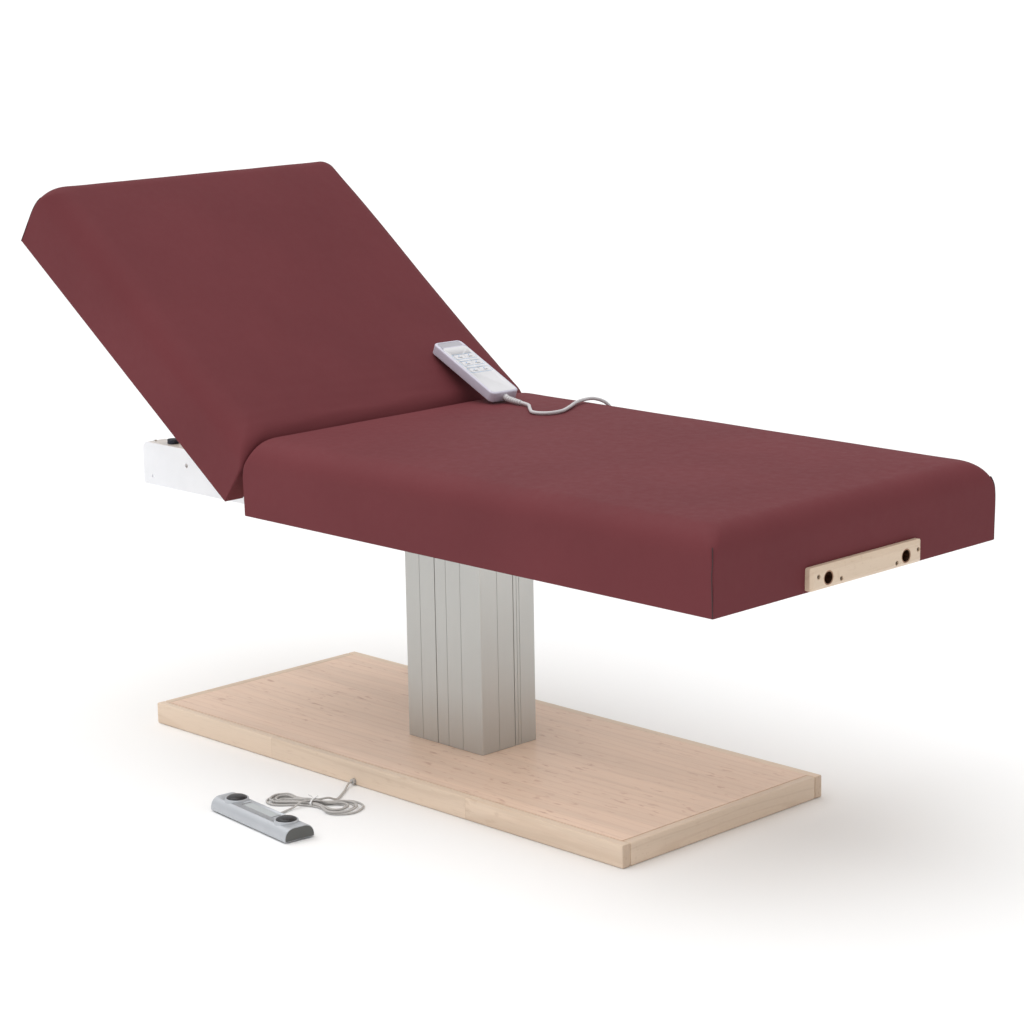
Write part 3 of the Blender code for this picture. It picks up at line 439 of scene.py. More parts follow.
FOOT_CORD = 0.004
FOOT_LEAD_ROUTE = (
    (-0.0086, -0.5050, 0.0090), (-0.0084, -0.4980, 0.0070), (-0.0100, -0.4880, 0.0040),
    (-0.0130, -0.4760, 0.0026), (-0.0160, -0.4640, 0.0025), (-0.0170, -0.4530, 0.0030),
    (-0.0165, -0.4440, 0.0050),
)
FOOT_TAIL_ROUTE = (
    (0.0052, -0.3663, 0.0050), (0.0026, -0.3570, 0.0030), (-0.0050, -0.3440, 0.0025),
    (-0.0160, -0.3280, 0.0025), (-0.0280, -0.3110, 0.0026), (-0.0390, -0.2960, 0.0045),
    (-0.0440, -0.2860, 0.0066), (-0.0450, -0.2790, 0.0070),
)
HANK_CENTRE = Vector((-0.007, -0.4065, 0.0))
HANK_TURN = radians(22.1)
HANK_TURNS = 5
LAYERS = (0.0021, 0.0062, 0.0103)  # heights of cords that lie on the floor and on each other
HANK_PLACE = Matrix.Translation(HANK_CENTRE) @ Matrix.Rotation(HANK_TURN, 4, "Z")
TIE_HALF = (0.0138, 0.0064)  # half width and half height of the waist that the tie goes round
TIE_MIDDLE = 0.0072
TIE_STEPS = 28  # for each of its two turns


def cord_look(name, colour):
    look = Look(name, colour, 0.42, Coat_Weight=0.15, Coat_Roughness=0.3)
    speckle = look.noise(220.0, 4.0)
    look.drive("Base Color", look.mix(look.range(speckle, 0.35, 0.7), tint(colour, 0.93), colour))
    look.drive("Roughness", look.range(speckle, 0.3, 0.7, 0.36, 0.50))
    look.bump(look.noise(900.0, 2.0), 0.00015, 0.4)
    return look.mat


def handset_cord():
    route = smooth_route(HANDSET_CORD_ROUTE, 0.004)
    lead = tube("handset_lead", route, HANDSET_CORD / 2, 14)
    lead.data.materials.append(cord_look("grey_cord", (0.60, 0.58, 0.59)))
    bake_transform(lead)
    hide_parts("handset_cord")


def lobe(side, extent, half, shift, height):
    """One end of a turn of the hank, from its upper side round to its lower one, in hank axes."""
    centre = extent - half
    return [(side * (centre + half * cos(radians(a))), shift + half * sin(radians(a)), height)
            for a in (100, 62, 25, -25, -62, -100)]


def hank_route():
    """From the gland in the base, through every turn of the hank, to the foot switch."""
    low, middle, high = LAYERS
    local = [(0.0190, 0.0215, high), (0.0090, 0.0090, high), (0.0, 0.0021, high), (-0.012, 0.0035, high),
             (-0.030, 0.013, middle)]
    for turn in range(HANK_TURNS):
        height = middle if turn % 2 else low
        beside = (0.0102 - 0.0020 * turn, height)  # where this turn's two runs pass the tie
        shift = 0.004 if turn % 2 else -0.001
        left = lobe(-1, 0.0965 - 0.0055 * turn, 0.0285 - 0.0041 * turn, 0.5 * shift, height)
        right = lobe(1, 0.0975 - 0.0085 * turn, 0.0395 - 0.0058 * turn, -1.5 * shift, height)
        local += left
        local += [(-0.026, 0.45 * left[-1][1], height), (0.0, -beside[0], height),
                  (0.024, 0.45 * right[-1][1], height)]
        local += right[::-1]
        if turn < HANK_TURNS - 1:
            local += [(0.024, 0.45 * right[0][1], height), (0.0, beside[0], height),
                      (-0.026, 0.45 * left[0][1] * 0.9, height)]
    local += [(0.026, 0.0075, middle), (0.012, 0.0, high), (0.0, -0.0021, high), (-0.0105, -0.0085, high),
              (-0.0180, -0.0190, 0.0095)]
    inside = [HANK_PLACE @ Vector(p) for p in local]
    return [*map(Vector, FOOT_TAIL_ROUTE[::-1]), *inside, *map(Vector, FOOT_LEAD_ROUTE[::-1])]


def twist_tie():
    """A flat strip twice round the hank's waist, with its two ends twisted up."""
    points = []
    for i in range(2 * TIE_STEPS + 1):
        a = 2 * pi * i / TIE_STEPS + pi / 2
        bulge = 1.0 - 0.10 * abs(sin(2 * a))
        points.append(HANK_PLACE @ Vector((0.0016 * (i - TIE_STEPS) / TIE_STEPS, TIE_HALF[0] * bulge * cos(a),
                                           TIE_MIDDLE + TIE_HALF[1] * bulge * sin(a))))
    pieces = [tube("twist_tie", points, 0.0009, 8)]
    for side, word in ((-1, "left"), (1, "right")):
        ear = [HANK_PLACE @ Vector((side * (0.0016 + 0.0085 * t), 0.002 * sin(5 * t) + side * 0.001,
                                    0.0134 + 0.0075 * t ** 0.8)) for t in (i / 10 for i in range(11))]
        pieces.append(tube(f"twist_tie_end_{word}", ear, 0.0008, 8))
    look = Look("tie_plastic", (0.86, 0.86, 0.86), 0.35, Coat_Weight=0.2)
    look.bump(look.noise(600.0), 0.0002, 0.5)
    for piece in pieces:
        dress(piece, look.mat, "base")
    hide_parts("cord_tie")
    return pieces


def foot_cord():
    route = smooth_route(hank_route(), 0.003)
    lead = tube("foot_switch_lead", route, FOOT_CORD / 2, 10)
    dress(lead, cord_look("thin_grey_cord", (0.52, 0.50, 0.48)), "base")
    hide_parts("foot_switch_cord_tail", "foot_switch_hank", "foot_switch_cord_lead")
    twist_tie()


# ---------------------------------------------------------------- looks of each material

def vinyl():
    """Soft upholstery vinyl: fine pebbled grain, faint cloudiness and a low sheen."""
    base = (0.158, 0.040, 0.046)
    look = Look("burgundy_vinyl", base, 0.60, Specular_IOR_Level=0.07)
    cloud = look.noise(3.2, 4.0, 0.55)
    fine = look.noise(55.0, 3.0, 0.6)
    tone = look.mix(look.range(cloud, 0.3, 0.7), tint(base, 0.93), tint(base, 1.05))
    pebble = look.cells(950.0)
    tone = look.mix(look.range(pebble, 0.02, 0.62, 0.10, 0.0), tone, tint(base, 0.45))
    look.drive("Base Color", tone)
    look.drive("Roughness", look.range(fine, 0.3, 0.7, 0.55, 0.66))
    under = look.bump(look.maths("SUBTRACT", 1.0, pebble), 0.00012, 0.30)
    look.bump(look.noise(420.0, 4.0, 0.6), 0.00012, 0.25, under)
    return look.mat


def wood(name, base, dark, along="X", flecks=0.0, boards=(), end_at=None, rough=0.40):
    """Lacquered wood with grain along one axis, optional flecks, board joints and end grain."""
    look = Look(name, base, rough, Coat_Weight=0.18, Coat_Roughness=0.22)
    thin = {"X": (0.9, 11.0, 11.0), "Y": (11.0, 0.9, 11.0), "Z": (11.0, 11.0, 0.9)}[along]
    place = look.place
    if boards:
        position = look.axis(along)
        step = None
        for at in boards:
            edge = look.range(position, at - 0.0002, at + 0.0002)
            step = edge if step is None else look.maths("ADD", step, edge)
        shift = look.node("ShaderNodeCombineXYZ", {"Y": look.maths("MULTIPLY", step, 0.37)}).outputs[0]
        place = look.node("ShaderNodeVectorMath", {0: place, 1: shift}, operation="ADD").outputs[0]
    grain = look.stretch(thin, place)
    broad = look.noise(1.6, 5.0, 0.55, grain, 0.8)
    lines = look.waves(2.6, look.stretch(tuple(v * 0.55 for v in thin), place), 9.0, 4.0, "RINGS")
    pores = look.noise(38.0, 4.0, 0.65, look.stretch((thin[0] * 0.5, thin[1], thin[2]), place))
    tone = look.mix(look.range(broad, 0.30, 0.72), tint(base, 1.05), tint(base, 0.90))
    tone = look.mix(look.range(lines, 0.80, 1.0, 0.0, 0.16), tone, dark)
    tone = look.mix(look.range(pores, 0.54, 0.80, 0.0, 0.24), tone, dark)
    if flecks:
        speck = look.noise(95.0, 2.0, 0.5, look.stretch((0.30, 1.0, 1.0), place), 0.3)
        patch = look.noise(6.0, 2.0, 0.5, place)
        marks = look.maths("MULTIPLY", look.range(speck, 0.60, 0.72), look.range(patch, 0.40, 0.60))
        tone = look.mix(look.maths("MULTIPLY", marks, flecks), tone, dark)
    if boards:
        for at in boards:
            near = look.maths("ABSOLUTE", look.maths("SUBTRACT", look.axis(along), at))
            tone = look.mix(look.range(near, 0.0002, 0.0007, 0.40, 0.0), tone, dark)
    if end_at:
        axis = look.maths("ABSOLUTE", look.axis("X"))
        rings = look.waves(110.0, look.stretch((0.0, 1.0, 0.6), place), 6.0, 3.0)
        ends = look.mix(look.range(rings, 0.2, 0.9, 0.25, 0.6), tint(base, 0.86), dark)
        tone = look.mix(look.range(axis, end_at, end_at + 0.0004), tone, ends)
    look.drive("Base Color", tone)
    look.drive("Roughness", look.range(pores, 0.3, 0.7, rough - 0.04, rough + 0.08))
    look.bump(pores, 0.00008, 0.5)
    return look.mat


def anodised():
    """Satin anodised extrusion, with faint drawing lines along its length."""
    base = (0.56, 0.56, 0.54)
    look = Look("anodised_aluminium", base, 0.46, 0.85, Specular_IOR_Level=0.5)
    lines = look.noise(900.0, 3.0, 0.7, look.stretch((1.0, 1.0, 0.004)))
    cloud = look.noise(9.0, 3.0)
    tone = look.mix(look.range(lines, 0.3, 0.7), tint(base, 0.95), tint(base, 1.03))
    look.drive("Base Color", look.mix(look.range(cloud, 0.35, 0.65, 0.0, 0.25), tone, tint(base, 0.93)))
    look.drive("Roughness", look.range(lines, 0.3, 0.7, 0.42, 0.54))
    look.bump(lines, 0.00004, 0.5)
    return look.mat


def metal(name, base, rough, scratch=0.35, metallic=1.0):
    look = Look(name, base, rough, metallic)
    spots = look.noise(70.0, 5.0, 0.65)
    scuffs = look.noise(340.0, 3.0, 0.6, look.stretch((0.15, 1.0, 1.0)))
    look.drive("Base Color", look.mix(look.range(spots, 0.35, 0.68), tint(base, 0.86), tint(base, 1.06)))
    look.drive("Roughness", look.range(scuffs, 0.3, 0.7, rough - 0.07, rough + 0.10))
    look.bump(scuffs, 0.00006, scratch)
    return look.mat


def paint(name, base, rough):
    """Powder coat or paint, with its orange-peel texture."""
    look = Look(name, base, rough, Coat_Weight=0.10, Coat_Roughness=0.25)
    peel = look.noise(420.0, 3.0, 0.5)
    grime = look.noise(8.0, 5.0, 0.6)
    look.drive("Base Color", look.mix(look.range(grime, 0.35, 0.75), tint(base, 1.02), tint(base, 0.95)))
    look.drive("Roughness", look.range(peel, 0.3, 0.7, rough - 0.05, rough + 0.06))
    look.bump(peel, 0.00012, 0.25)
    return look.mat


def plastic(name, base, rough, texture=0.3, scale=800.0, **sockets):
    """Moulded plastic with a spark-eroded texture."""
    look = Look(name, base, rough, **sockets)
    spark = look.noise(scale, 3.0, 0.6)
    flow = look.noise(22.0, 3.0)
    look.drive("Base Color", look.mix(look.range(flow, 0.3, 0.7), tint(base, 0.965), tint(base, 1.02)))
    look.drive("Roughness", look.range(spark, 0.3, 0.7, rough - 0.05, rough + 0.07))
    look.bump(spark, 0.00010, texture)
    return look.mat


def plywood():
    """Birch ply with its thin glued layers."""
    base, dark = (0.66, 0.50, 0.33), (0.36, 0.22, 0.12)
    look = Look("birch_plywood", base, 0.6)
    grain = look.noise(14.0, 4.0, 0.6, look.stretch((0.5, 7.0, 7.0)))
    tone = look.mix(look.range(grain, 0.35, 0.7), tint(base, 1.05), tint(base, 0.82))
    layers = look.waves(330.0, look.place, 0.2, 1.0, "BANDS", "Z")
    look.drive("Base Color", look.mix(look.range(layers, 0.3, 0.7, 0.0, 0.5), tone, dark))
    look.bump(grain, 0.0001, 0.4)
    return look.mat


def material_looks():
    """One material for each of the record's slots."""
    maple, maple_dark = (0.78, 0.62, 0.48), (0.46, 0.29, 0.18)
    # The veneer's base colour is lighter than the wood's own: painted light that makes up for the shade the
    # table top casts on the base panel.
    veneer, veneer_dark = (0.83, 0.615, 0.475), (0.55, 0.31, 0.22)
    half_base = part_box("base_rail_front")[1][0]
    joints = (-0.44 * half_base, 0.40 * half_base)
    return {
        "maple_veneer": wood("maple_veneer", veneer, veneer_dark, "X", 0.75),
        "maple_rail": wood("maple_rail", maple, maple_dark, "X", 0.25, joints, half_base - 0.0015),
        "maple_rail_end": wood("maple_rail_short", maple, maple_dark, "Y", 0.25),
        "anodised_aluminium": anodised(),
        "guide_plastic": plastic("guide_plastic", (0.035, 0.035, 0.037), 0.45),
        "zinc_steel": metal("zinc_steel", (0.52, 0.53, 0.55), 0.38),
        "motor_black": paint("motor_black", (0.022, 0.022, 0.025), 0.42),
        "white_powder_coat": paint("white_powder_coat", (0.90, 0.915, 0.95), 0.40),
        "bumper_rubber": plastic("bumper_rubber", (0.014, 0.018, 0.034), 0.62, 0.5, 350.0),
        "frame_pine": wood("frame_pine", (0.64, 0.46, 0.27), (0.36, 0.20, 0.09), "X", 0.0, (), None, 0.62),
        "birch_plywood": plywood(),
        "burgundy_vinyl": vinyl(),
        "maple_plate": wood("maple_plate", (0.72, 0.565, 0.42), maple_dark, "Y", 0.2, (), None, 0.36),
        "socket_bronze": metal("socket_bronze", (0.34, 0.20, 0.135), 0.40),
        "black_steel": metal("black_steel", (0.028, 0.028, 0.030), 0.42, 0.5, 0.6),
        "bright_steel": metal("bright_steel", (0.66, 0.66, 0.67), 0.24),
        "black_plastic": plastic("black_plastic", (0.025, 0.025, 0.028), 0.46),
        "handset_shell": plastic("handset_shell", (0.62, 0.60, 0.70), 0.36, 0.2, 900.0, Coat_Weight=0.15,
                                 Coat_Roughness=0.2),
        "handset_face": plastic("handset_face", (0.72, 0.715, 0.735), 0.45, 0.05, 900.0),
        "cord_grey": cord_look("boot_grey", (0.60, 0.58, 0.59)),
        "cord_thin_grey": cord_look("sleeve_grey", (0.52, 0.50, 0.48)),
        "silver_plastic": plastic("silver_plastic", (0.50, 0.52, 0.55), 0.34, 0.25, 700.0, Metallic=0.25,
                                  Coat_Weight=0.1, Coat_Roughness=0.3),
        "button_black": plastic("button_black", (0.018, 0.018, 0.021), 0.30, 0.15),
    }


def dress_cad_nodes(looks):
    """Gives every CAD node that is still shown its material."""
    slots = {part["node"]: part["material_slot"] for part in frame["record"]["subparts"]}
    for name, node in NODES.items():
        look = looks[slots[name]]
        if name in ("base_rail_head", "base_rail_foot"):
            look = looks["maple_rail_end"]
        if name == "foot_switch_gland":
            look = looks["cord_thin_grey"]
        node.data.materials.clear()
        node.data.materials.append(look)


# ---------------------------------------------------------------- upholstery

PIVOT = Vector(JOINTS["backrest_recline"]["pos_m"])
REST = radians(-JOINTS["backrest_recline"]["range_deg"][0])  # it lies flat at its lower limit
DECK_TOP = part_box("seat_deck")[1][2]
PAD_BOTTOM, PAD_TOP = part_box("seat_pad")[0][2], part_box("seat_pad")[1][2]
HALF_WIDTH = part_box("seat_pad")[1][1]
COVER = 0.0038  # thickness of the skirt that hides the wooden frame
NOTCH = 0.335  # the crease ends' skirts are left out within this distance of the middle
CORNER_STEPS = 4
SPACING = 0.0125
SIDE_ROUND, FAR_ROUND = 0.052, 0.046  # how far the edges' rounding reaches over the top
SHOULDER = 0.052  # and down the sides
EDGE_DROP = 0.0036  # the top is this much lower where its rounded edges start
CROWN = 0.0014  # rise of the foam itself; the rest comes from the air in the cover
SOFTNESS = 0.0030  # the furthest any point of a cover is blown out
FULLNESS = 0.016  # the backrest's foam is higher by this towards its far end
SKIRT_DEPTH = 0.0028  # the skirt stays outside the wooden frame
SKIRT_LEAN, HEM = 0.0020, 0.0008  # the skirt's foot is set in by the first, and its hem by both
HEM_HEIGHTS = (0.0002, 0.0014)
SIDE_STEPS, SHOULDER_STEPS = 6, 12
CORNER_LOW, CORNER_NEAR, CORNER_FAR = 0.0042, 0.022, 0.020  # corner radius below, and its growth above
SEAT_LIP, BACK_LIP = 0.020, 0.048  # radius of the rounded edge at the crease
SEAT_WRINKLES, BACK_WRINKLES = 0.0002, 0.0011  # height of the fine wrinkles at the crease
WRINKLE_REACH = 0.09
WAVES, WAVE_HEIGHT = 5.0, 0.0005  # broad unevenness, in waves for each metre
TOP_GAP = 0.0003  # covers stay this much below the CAD pads, except for the fullness
FULL_FROM, FULL_OVER = 0.16, 0.55  # the fullness starts this far from the crease and grows over this length
EDGE_ZONE = 0.012  # points this near to a side belong to it
SEAM_RADIUS, SEAM_STEPS, SEAM_END = 0.0010, 40, 0.034
WINDOW_HALF, WINDOW_LOW, WINDOW_HIGH = 0.140, 0.007, 0.041  # opening in the seat's skirt for the outlets


def lean_line(z):
    """Where the plane between the two pads crosses a height, measured from a pad's crease end."""
    return (z - PIVOT.z) * tan(REST / 2) - 0.0046


def crease_line(z, radius, top):
    """How far a crease end stands back: upright, along the plane between the pads, then over its lip."""
    centre = top - radius
    touch = centre + radius * sin(REST / 2)
    if z <= touch:
        return max(0.0004, lean_line(z))
    back = lean_line(touch) + radius * cos(REST / 2)
    return max(0.0004, back - sqrt(max(0.0, radius ** 2 - (z - centre) ** 2)))


def ease(t):
    t = min(1.0, max(0.0, t))
    return t * t * (3 - 2 * t)


def between(a, b, count):
    """Points that divide the line from a to b into equal steps, without its ends."""
    return [(a[0] + (b[0] - a[0]) * i / count, a[1] + (b[1] - a[1]) * i / count) for i in range(1, count)]


def pad_loop(near, far, half, z, near_radius, far_radius, columns, rows):
    """One level of a pad, from the middle of a crease corner round: (distance from the crease end, y, z)."""
    m = CORNER_STEPS
    c1 = arc(near + near_radius, near_radius - half, near_radius, 180, 270, 2 * m)
    c2 = arc(far - far_radius, far_radius - half, far_radius, 270, 360, 2 * m)
    c3 = arc(far - far_radius, half - far_radius, far_radius, 0, 90, 2 * m)
    c4 = arc(near + near_radius, half - near_radius, near_radius, 90, 180, 2 * m)
    points = (c1[m:] + between(c1[-1], c2[0], columns) + c2 + between(c2[-1], c3[0], rows) + c3
              + between(c3[-1], c4[0], columns) + c4 + between(c4[-1], c1[0], rows) + c1[:m])
    return [(d, y, z) for d, y in points]


def pad_levels(length, lip, top, columns, rows):
    """Closed loops of points from a pad's lower edge up to where its top begins."""
    side_top = top - SHOULDER
    hem, side_low = (PAD_BOTTOM + height for height in HEM_HEIGHTS)
    heights = [hem, side_low]
    heights += [side_low + (side_top - side_low) * i / SIDE_STEPS for i in range(1, SIDE_STEPS + 1)]
    heights += [side_top + SHOULDER * sin(radians(90 * i / SHOULDER_STEPS))
                for i in range(1, SHOULDER_STEPS + 1)]
    loops = []
    for z in heights:
        t = min(1.0, max(0.0, (z - side_top) / SHOULDER))
        over = 1.0 - sqrt(max(0.0, 1.0 - t ** 2.2))
        skirt = SKIRT_LEAN * (1 - ease((z - PAD_BOTTOM) / (DECK_TOP - PAD_BOTTOM)))
        if z == hem:
            skirt += HEM
        high = ease((z - DECK_TOP) / (top - DECK_TOP))
        near = max(crease_line(z, lip, top), skirt)
        far, half = length - skirt - FAR_ROUND * over, HALF_WIDTH - skirt - SIDE_ROUND * over
        loops.append(pad_loop(near, far, half, z, CORNER_LOW + CORNER_NEAR * high,
                              CORNER_LOW + CORNER_FAR * high, columns, rows))
    return loops


def fill_top(loop, sides):
    """Rows of points across a closed loop with four sides of so many steps each (a Coons patch)."""
    starts = np.cumsum([0, *sides])
    low, right, high, left = (np.array([loop[i % len(loop)] for i in range(first, last + 1)])
                              for first, last in zip(starts, starts[1:]))
    high, left = high[::-1], left[::-1]
    u = np.linspace(0, 1, sides[0] + 1)[:, None, None]
    v = np.linspace(0, 1, sides[1] + 1)[None, :, None]
    across = (1 - v) * low[:, None, :] + v * high[:, None, :]
    along = (1 - u) * left[None, :, :] + u * right[None, :, :]
    corners = ((1 - u) * (1 - v) * low[0] + u * (1 - v) * low[-1] + (1 - u) * v * high[0] + u * v * high[-1])
    return across + along - corners


def pad_skin(name, length, lip, place):
    """A pad's outer skin, open below; the first loop of points is its lower edge."""
    columns, rows = round(length / SPACING), round(2 * HALF_WIDTH / SPACING)
    loops = pad_levels(length, lip, PAD_TOP - EDGE_DROP, columns, rows)
    count = len(loops[0])
    verts = [p for loop in loops for p in loop]
    faces = []
    for start in range(0, (len(loops) - 1) * count, count):
        for i in range(count):
            a, b = start + i, start + (i + 1) % count
            faces.append((a, b, b + count, a + count))
    sides = (columns + 2 * CORNER_STEPS, rows + 2 * CORNER_STEPS) * 2
    grid = fill_top(loops[-1], sides)
    m, n = grid.shape[:2]
    border = ([(i, 0) for i in range(m - 1)] + [(m - 1, j) for j in range(n - 1)]
              + [(i, n - 1) for i in range(m - 1, 0, -1)] + [(0, j) for j in range(n - 1, 0, -1)])
    index = {cell: (len(loops) - 1) * count + k for k, cell in enumerate(border)}
    for i in range(1, m - 1):
        for j in range(1, n - 1):
            d, y, z = grid[i, j]
            edge = min(d - grid[0, j, 0], grid[-1, j, 0] - d, y - grid[i, 0, 1], grid[i, -1, 1] - y)
            index[(i, j)] = len(verts)
            verts.append((d, y, z + CROWN * (1 - np.exp(-edge / 0.05))))
    faces += [(index[(i, j)], index[(i + 1, j)], index[(i + 1, j + 1)], index[(i, j + 1)])
              for i in range(m - 1) for j in range(n - 1)]
    if place.determinant() < 0:
        faces = [face[::-1] for face in faces]
    return mesh_object(name, [place @ Vector(p) for p in verts], faces, None), count


def inflate(obj, held):
    """Cloth simulation: air fills the cover, which is held along its lower edge."""
    rest = np.array([v.co for v in obj.data.vertices])
    pins = obj.vertex_groups.new(name="held")
    pins.add(list(range(held)), 1.0, "REPLACE")
    mod = modifier(obj, "CLOTH")
    cloth = mod.settings
    cloth.quality = 5
    cloth.mass = 0.35
    cloth.tension_stiffness = cloth.compression_stiffness = 30.0
    cloth.shear_stiffness = 15.0
    cloth.bending_stiffness = 4.0
    cloth.vertex_group_mass = "held"
    cloth.use_pressure = True
    cloth.uniform_pressure_force = 4.0
    cloth.effector_weights.gravity = 0.0
    mod.point_cache.frame_start, mod.point_cache.frame_end = 1, 20
    for step in range(1, 21):
        SCENE.frame_set(step)
    graph = bpy.context.evaluated_depsgraph_get()
    blown = np.array([v.co for v in obj.evaluated_get(graph).data.vertices])
    obj.modifiers.clear()
    obj.vertex_groups.clear()
    SCENE.frame_set(1)
    shift = blown - rest
    size = np.linalg.norm(shift, axis=1, keepdims=True)
    shift *= SOFTNESS / size.max()
    obj.data.vertices.foreach_set("co", (rest + shift).astype(np.float32).ravel())
    obj.data.update()


def settle(obj, place, length, wrinkles, fullness):
    """Keeps a cover on its side of the plane between the pads and below its top, faintly uneven."""
    back = place.inverted()
    for vert in obj.data.vertices:
        d, y, z = back @ vert.co
        high = ease((z - DECK_TOP) / 0.04)
        wave = noise.noise(Vector((d * WAVES, y * WAVES, z * WAVES + 3.0)))
        crease = noise.noise(Vector((d * 55.0, y * 9.0, z * 30.0))) * np.exp(-d / WRINKLE_REACH)
        z += high * (WAVE_HEIGHT * wave + wrinkles * crease)
        z = min(z, PAD_TOP - TOP_GAP)
        z += fullness * ease((d - FULL_FROM) / FULL_OVER) * ease((z - DECK_TOP - 0.01) / 0.055)
        if z < DECK_TOP + 0.002:
            if abs(y) > HALF_WIDTH - EDGE_ZONE:
                y = max(abs(y), HALF_WIDTH - SKIRT_DEPTH) * (1 if y > 0 else -1)
            if d > length - EDGE_ZONE:
                d = max(d, length - SKIRT_DEPTH)
            if d < EDGE_ZONE:
                d = min(d, SKIRT_DEPTH)
        d = max(d, 0.0003 if z < DECK_TOP else lean_line(z) + 0.0001)
        vert.co = place @ Vector((d, y, z))
    obj.data.update()


def close_below(obj, place, length):
    """Gives the skirt its thickness, and the pad its underside on the deck."""
    back = place.inverted()
    shape = bmesh.new()
    shape.from_mesh(obj.data)

    def step_in(move):
        rims = [e for e in shape.edges if e.is_boundary]
        out = bmesh.ops.extrude_edge_only(shape, edges=rims)["geom"]
        for v in (g for g in out if isinstance(g, bmesh.types.BMVert)):
            v.co = place @ Vector(move(*(back @ v.co)))

    inside = HALF_WIDTH - COVER
    step_in(lambda d, y, z: (min(max(d, COVER), length - COVER), min(max(y, -inside), inside), z))
    step_in(lambda d, y, z: (d, y, DECK_TOP + 0.0008))
    rims = [e for e in shape.edges if e.is_boundary]
    bmesh.ops.contextual_create(shape, geom=rims)
    bmesh.ops.recalc_face_normals(shape, faces=shape.faces)
    shape.to_mesh(obj.data)
    shape.free()


def corner_seams(pad, name, place, body, look):
    """Sewn seams down a pad's two far corners, as thin dark lines: the seams, with painted shade for the
    grooves along them.
    """
    back = place.inverted()
    points = np.array([back @ v.co for v in pad.data.vertices])
    for side, word in ((-1, "front"), (1, "rear")):
        line = []
        for z in np.linspace(PAD_BOTTOM + 0.001, PAD_TOP - SEAM_END, SEAM_STEPS):
            level = points[np.abs(points[:, 2] - z) < 0.004]
            d, y, _ = level[np.argmax(level[:, 0] + side * level[:, 1])]
            line.append((d, y, z))
        line = np.array(line)
        for k in (0, 1):  # even out the steps from point to point
            line[2:-2, k] = (line[:-4, k] + line[1:-3, k] + line[2:-2, k] + line[3:-1, k] + line[4:, k]) / 5
        seam = tube(f"{name}_seam_{word}", [place @ Vector(p) for p in line], SEAM_RADIUS, 8)
        dress(seam, look, body)


def upholstery(look):
    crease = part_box("seat_pad")[0][0]
    seat_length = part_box("seat_pad")[1][0] - crease
    flat = Matrix.Translation(PIVOT) @ Matrix.Rotation(-REST, 4, "Y") @ Matrix.Translation(-PIVOT)
    back_points = [flat @ v.co for v in NODES["backrest_pad"].data.vertices]
    back_crease = max(p.x for p in back_points)
    back_length = back_crease - min(p.x for p in back_points)
    seat_place = Matrix.Translation((crease, 0.0, 0.0))
    mirror = Matrix.Diagonal((-1, 1, 1, 1))
    back_place = flat.inverted() @ Matrix.Translation((back_crease, 0.0, 0.0)) @ mirror

    # The bend across the crease is the same on both sides of the plane between the pads.
    start, end = Vector((-0.1847, 0.0, 0.6189)), Vector((-0.2493, 0.0, 0.7231))
    normal = Vector((cos(REST / 2), 0.0, -sin(REST / 2)))
    mirrored = [p - 2 * normal * normal.dot(p - PIVOT) for p in (start, end)]

    plans = (
        ("seat", seat_length, SEAT_LIP, seat_place, "table_top", "backrest", (start, end), SEAT_WRINKLES),
        ("backrest", back_length, BACK_LIP, back_place, "backrest", "table_top", mirrored, BACK_WRINKLES),
    )
    # The seams' dark colour is painted shade of the grooves along them, which the mesh doesn't have.
    seam_shade_look = plastic("seam_painted_shade", (0.045, 0.012, 0.014), 0.6)
    for word, length, lip, place, body, other, span, wrinkles in plans:
        pad, held = pad_skin(f"{word}_upholstery", length, lip, place)
        inflate(pad, held)
        modifier(pad, "SUBSURF", levels=1, render_levels=1)
        apply_modifiers(pad)
        settle(pad, place, length, wrinkles, FULLNESS if word == "backrest" else 0.0)
        close_below(pad, place, length)
        low, high = PAD_BOTTOM - 0.02, DECK_TOP + 0.0004
        notch = prism(rectangle(-0.02, low, COVER + 0.006, high), "Y", -NOTCH, NOTCH)
        cutters = [bmesh_object("notch", moved(notch, place), None)]
        if word == "seat":
            low, high = PAD_BOTTOM + WINDOW_LOW, PAD_BOTTOM + WINDOW_HIGH
            foot_end = crease + length
            opening = rectangle(-WINDOW_HALF, low, WINDOW_HALF, high)
            window = prism(opening, "X", foot_end - 0.02, foot_end + 0.02)
            cutters.append(bmesh_object("window", window, None))
        carve(pad, *cutters)
        pad.data.materials.clear()
        pad.data.materials.append(look)
        pad.data.shade_smooth()
        pad.data.set_sharp_from_angle(angle=radians(50.0))
        corner_seams(pad, word, place, body, seam_shade_look)
        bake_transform(pad)
        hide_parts(f"{word}_pad")


# ---------------------------------------------------------------- handset

HANDSET_LENGTH, HANDSET_WIDTH, HANDSET_THICK, HANDSET_SPLIT = 0.210, 0.070, 0.022, 0.011
HANDSET_FOOT = Vector((-0.115, 0.215, 0.6722))
HANDSET_TILT = radians(22.76)
HANDSET_HEADING = 0.10
KEY_ROWS = (0.146, 0.119, 0.092)
KEY_OUT = 0.0125
KEY = (0.015, 0.021)
KEY_GAP = 0.0003
FACE = (0.0048, 0.1845, 0.0042, 0.0085)  # face plate: start, end, inset from the sides, corner radius
FACE_LEVEL = HANDSET_THICK + 0.0002
KEY_LEVEL = HANDSET_THICK + 0.0005
CUT_LEVEL = HANDSET_THICK + 0.01  # cutters reach up to here
PRINT_SINK, PRINT_RISE = 0.0002, 0.00008
PARTING = 0.0001  # half of the fine gap between the shells
SHELL_ROUND = 0.0034
RIBS, RIB_DEPTH = 8, 0.0013


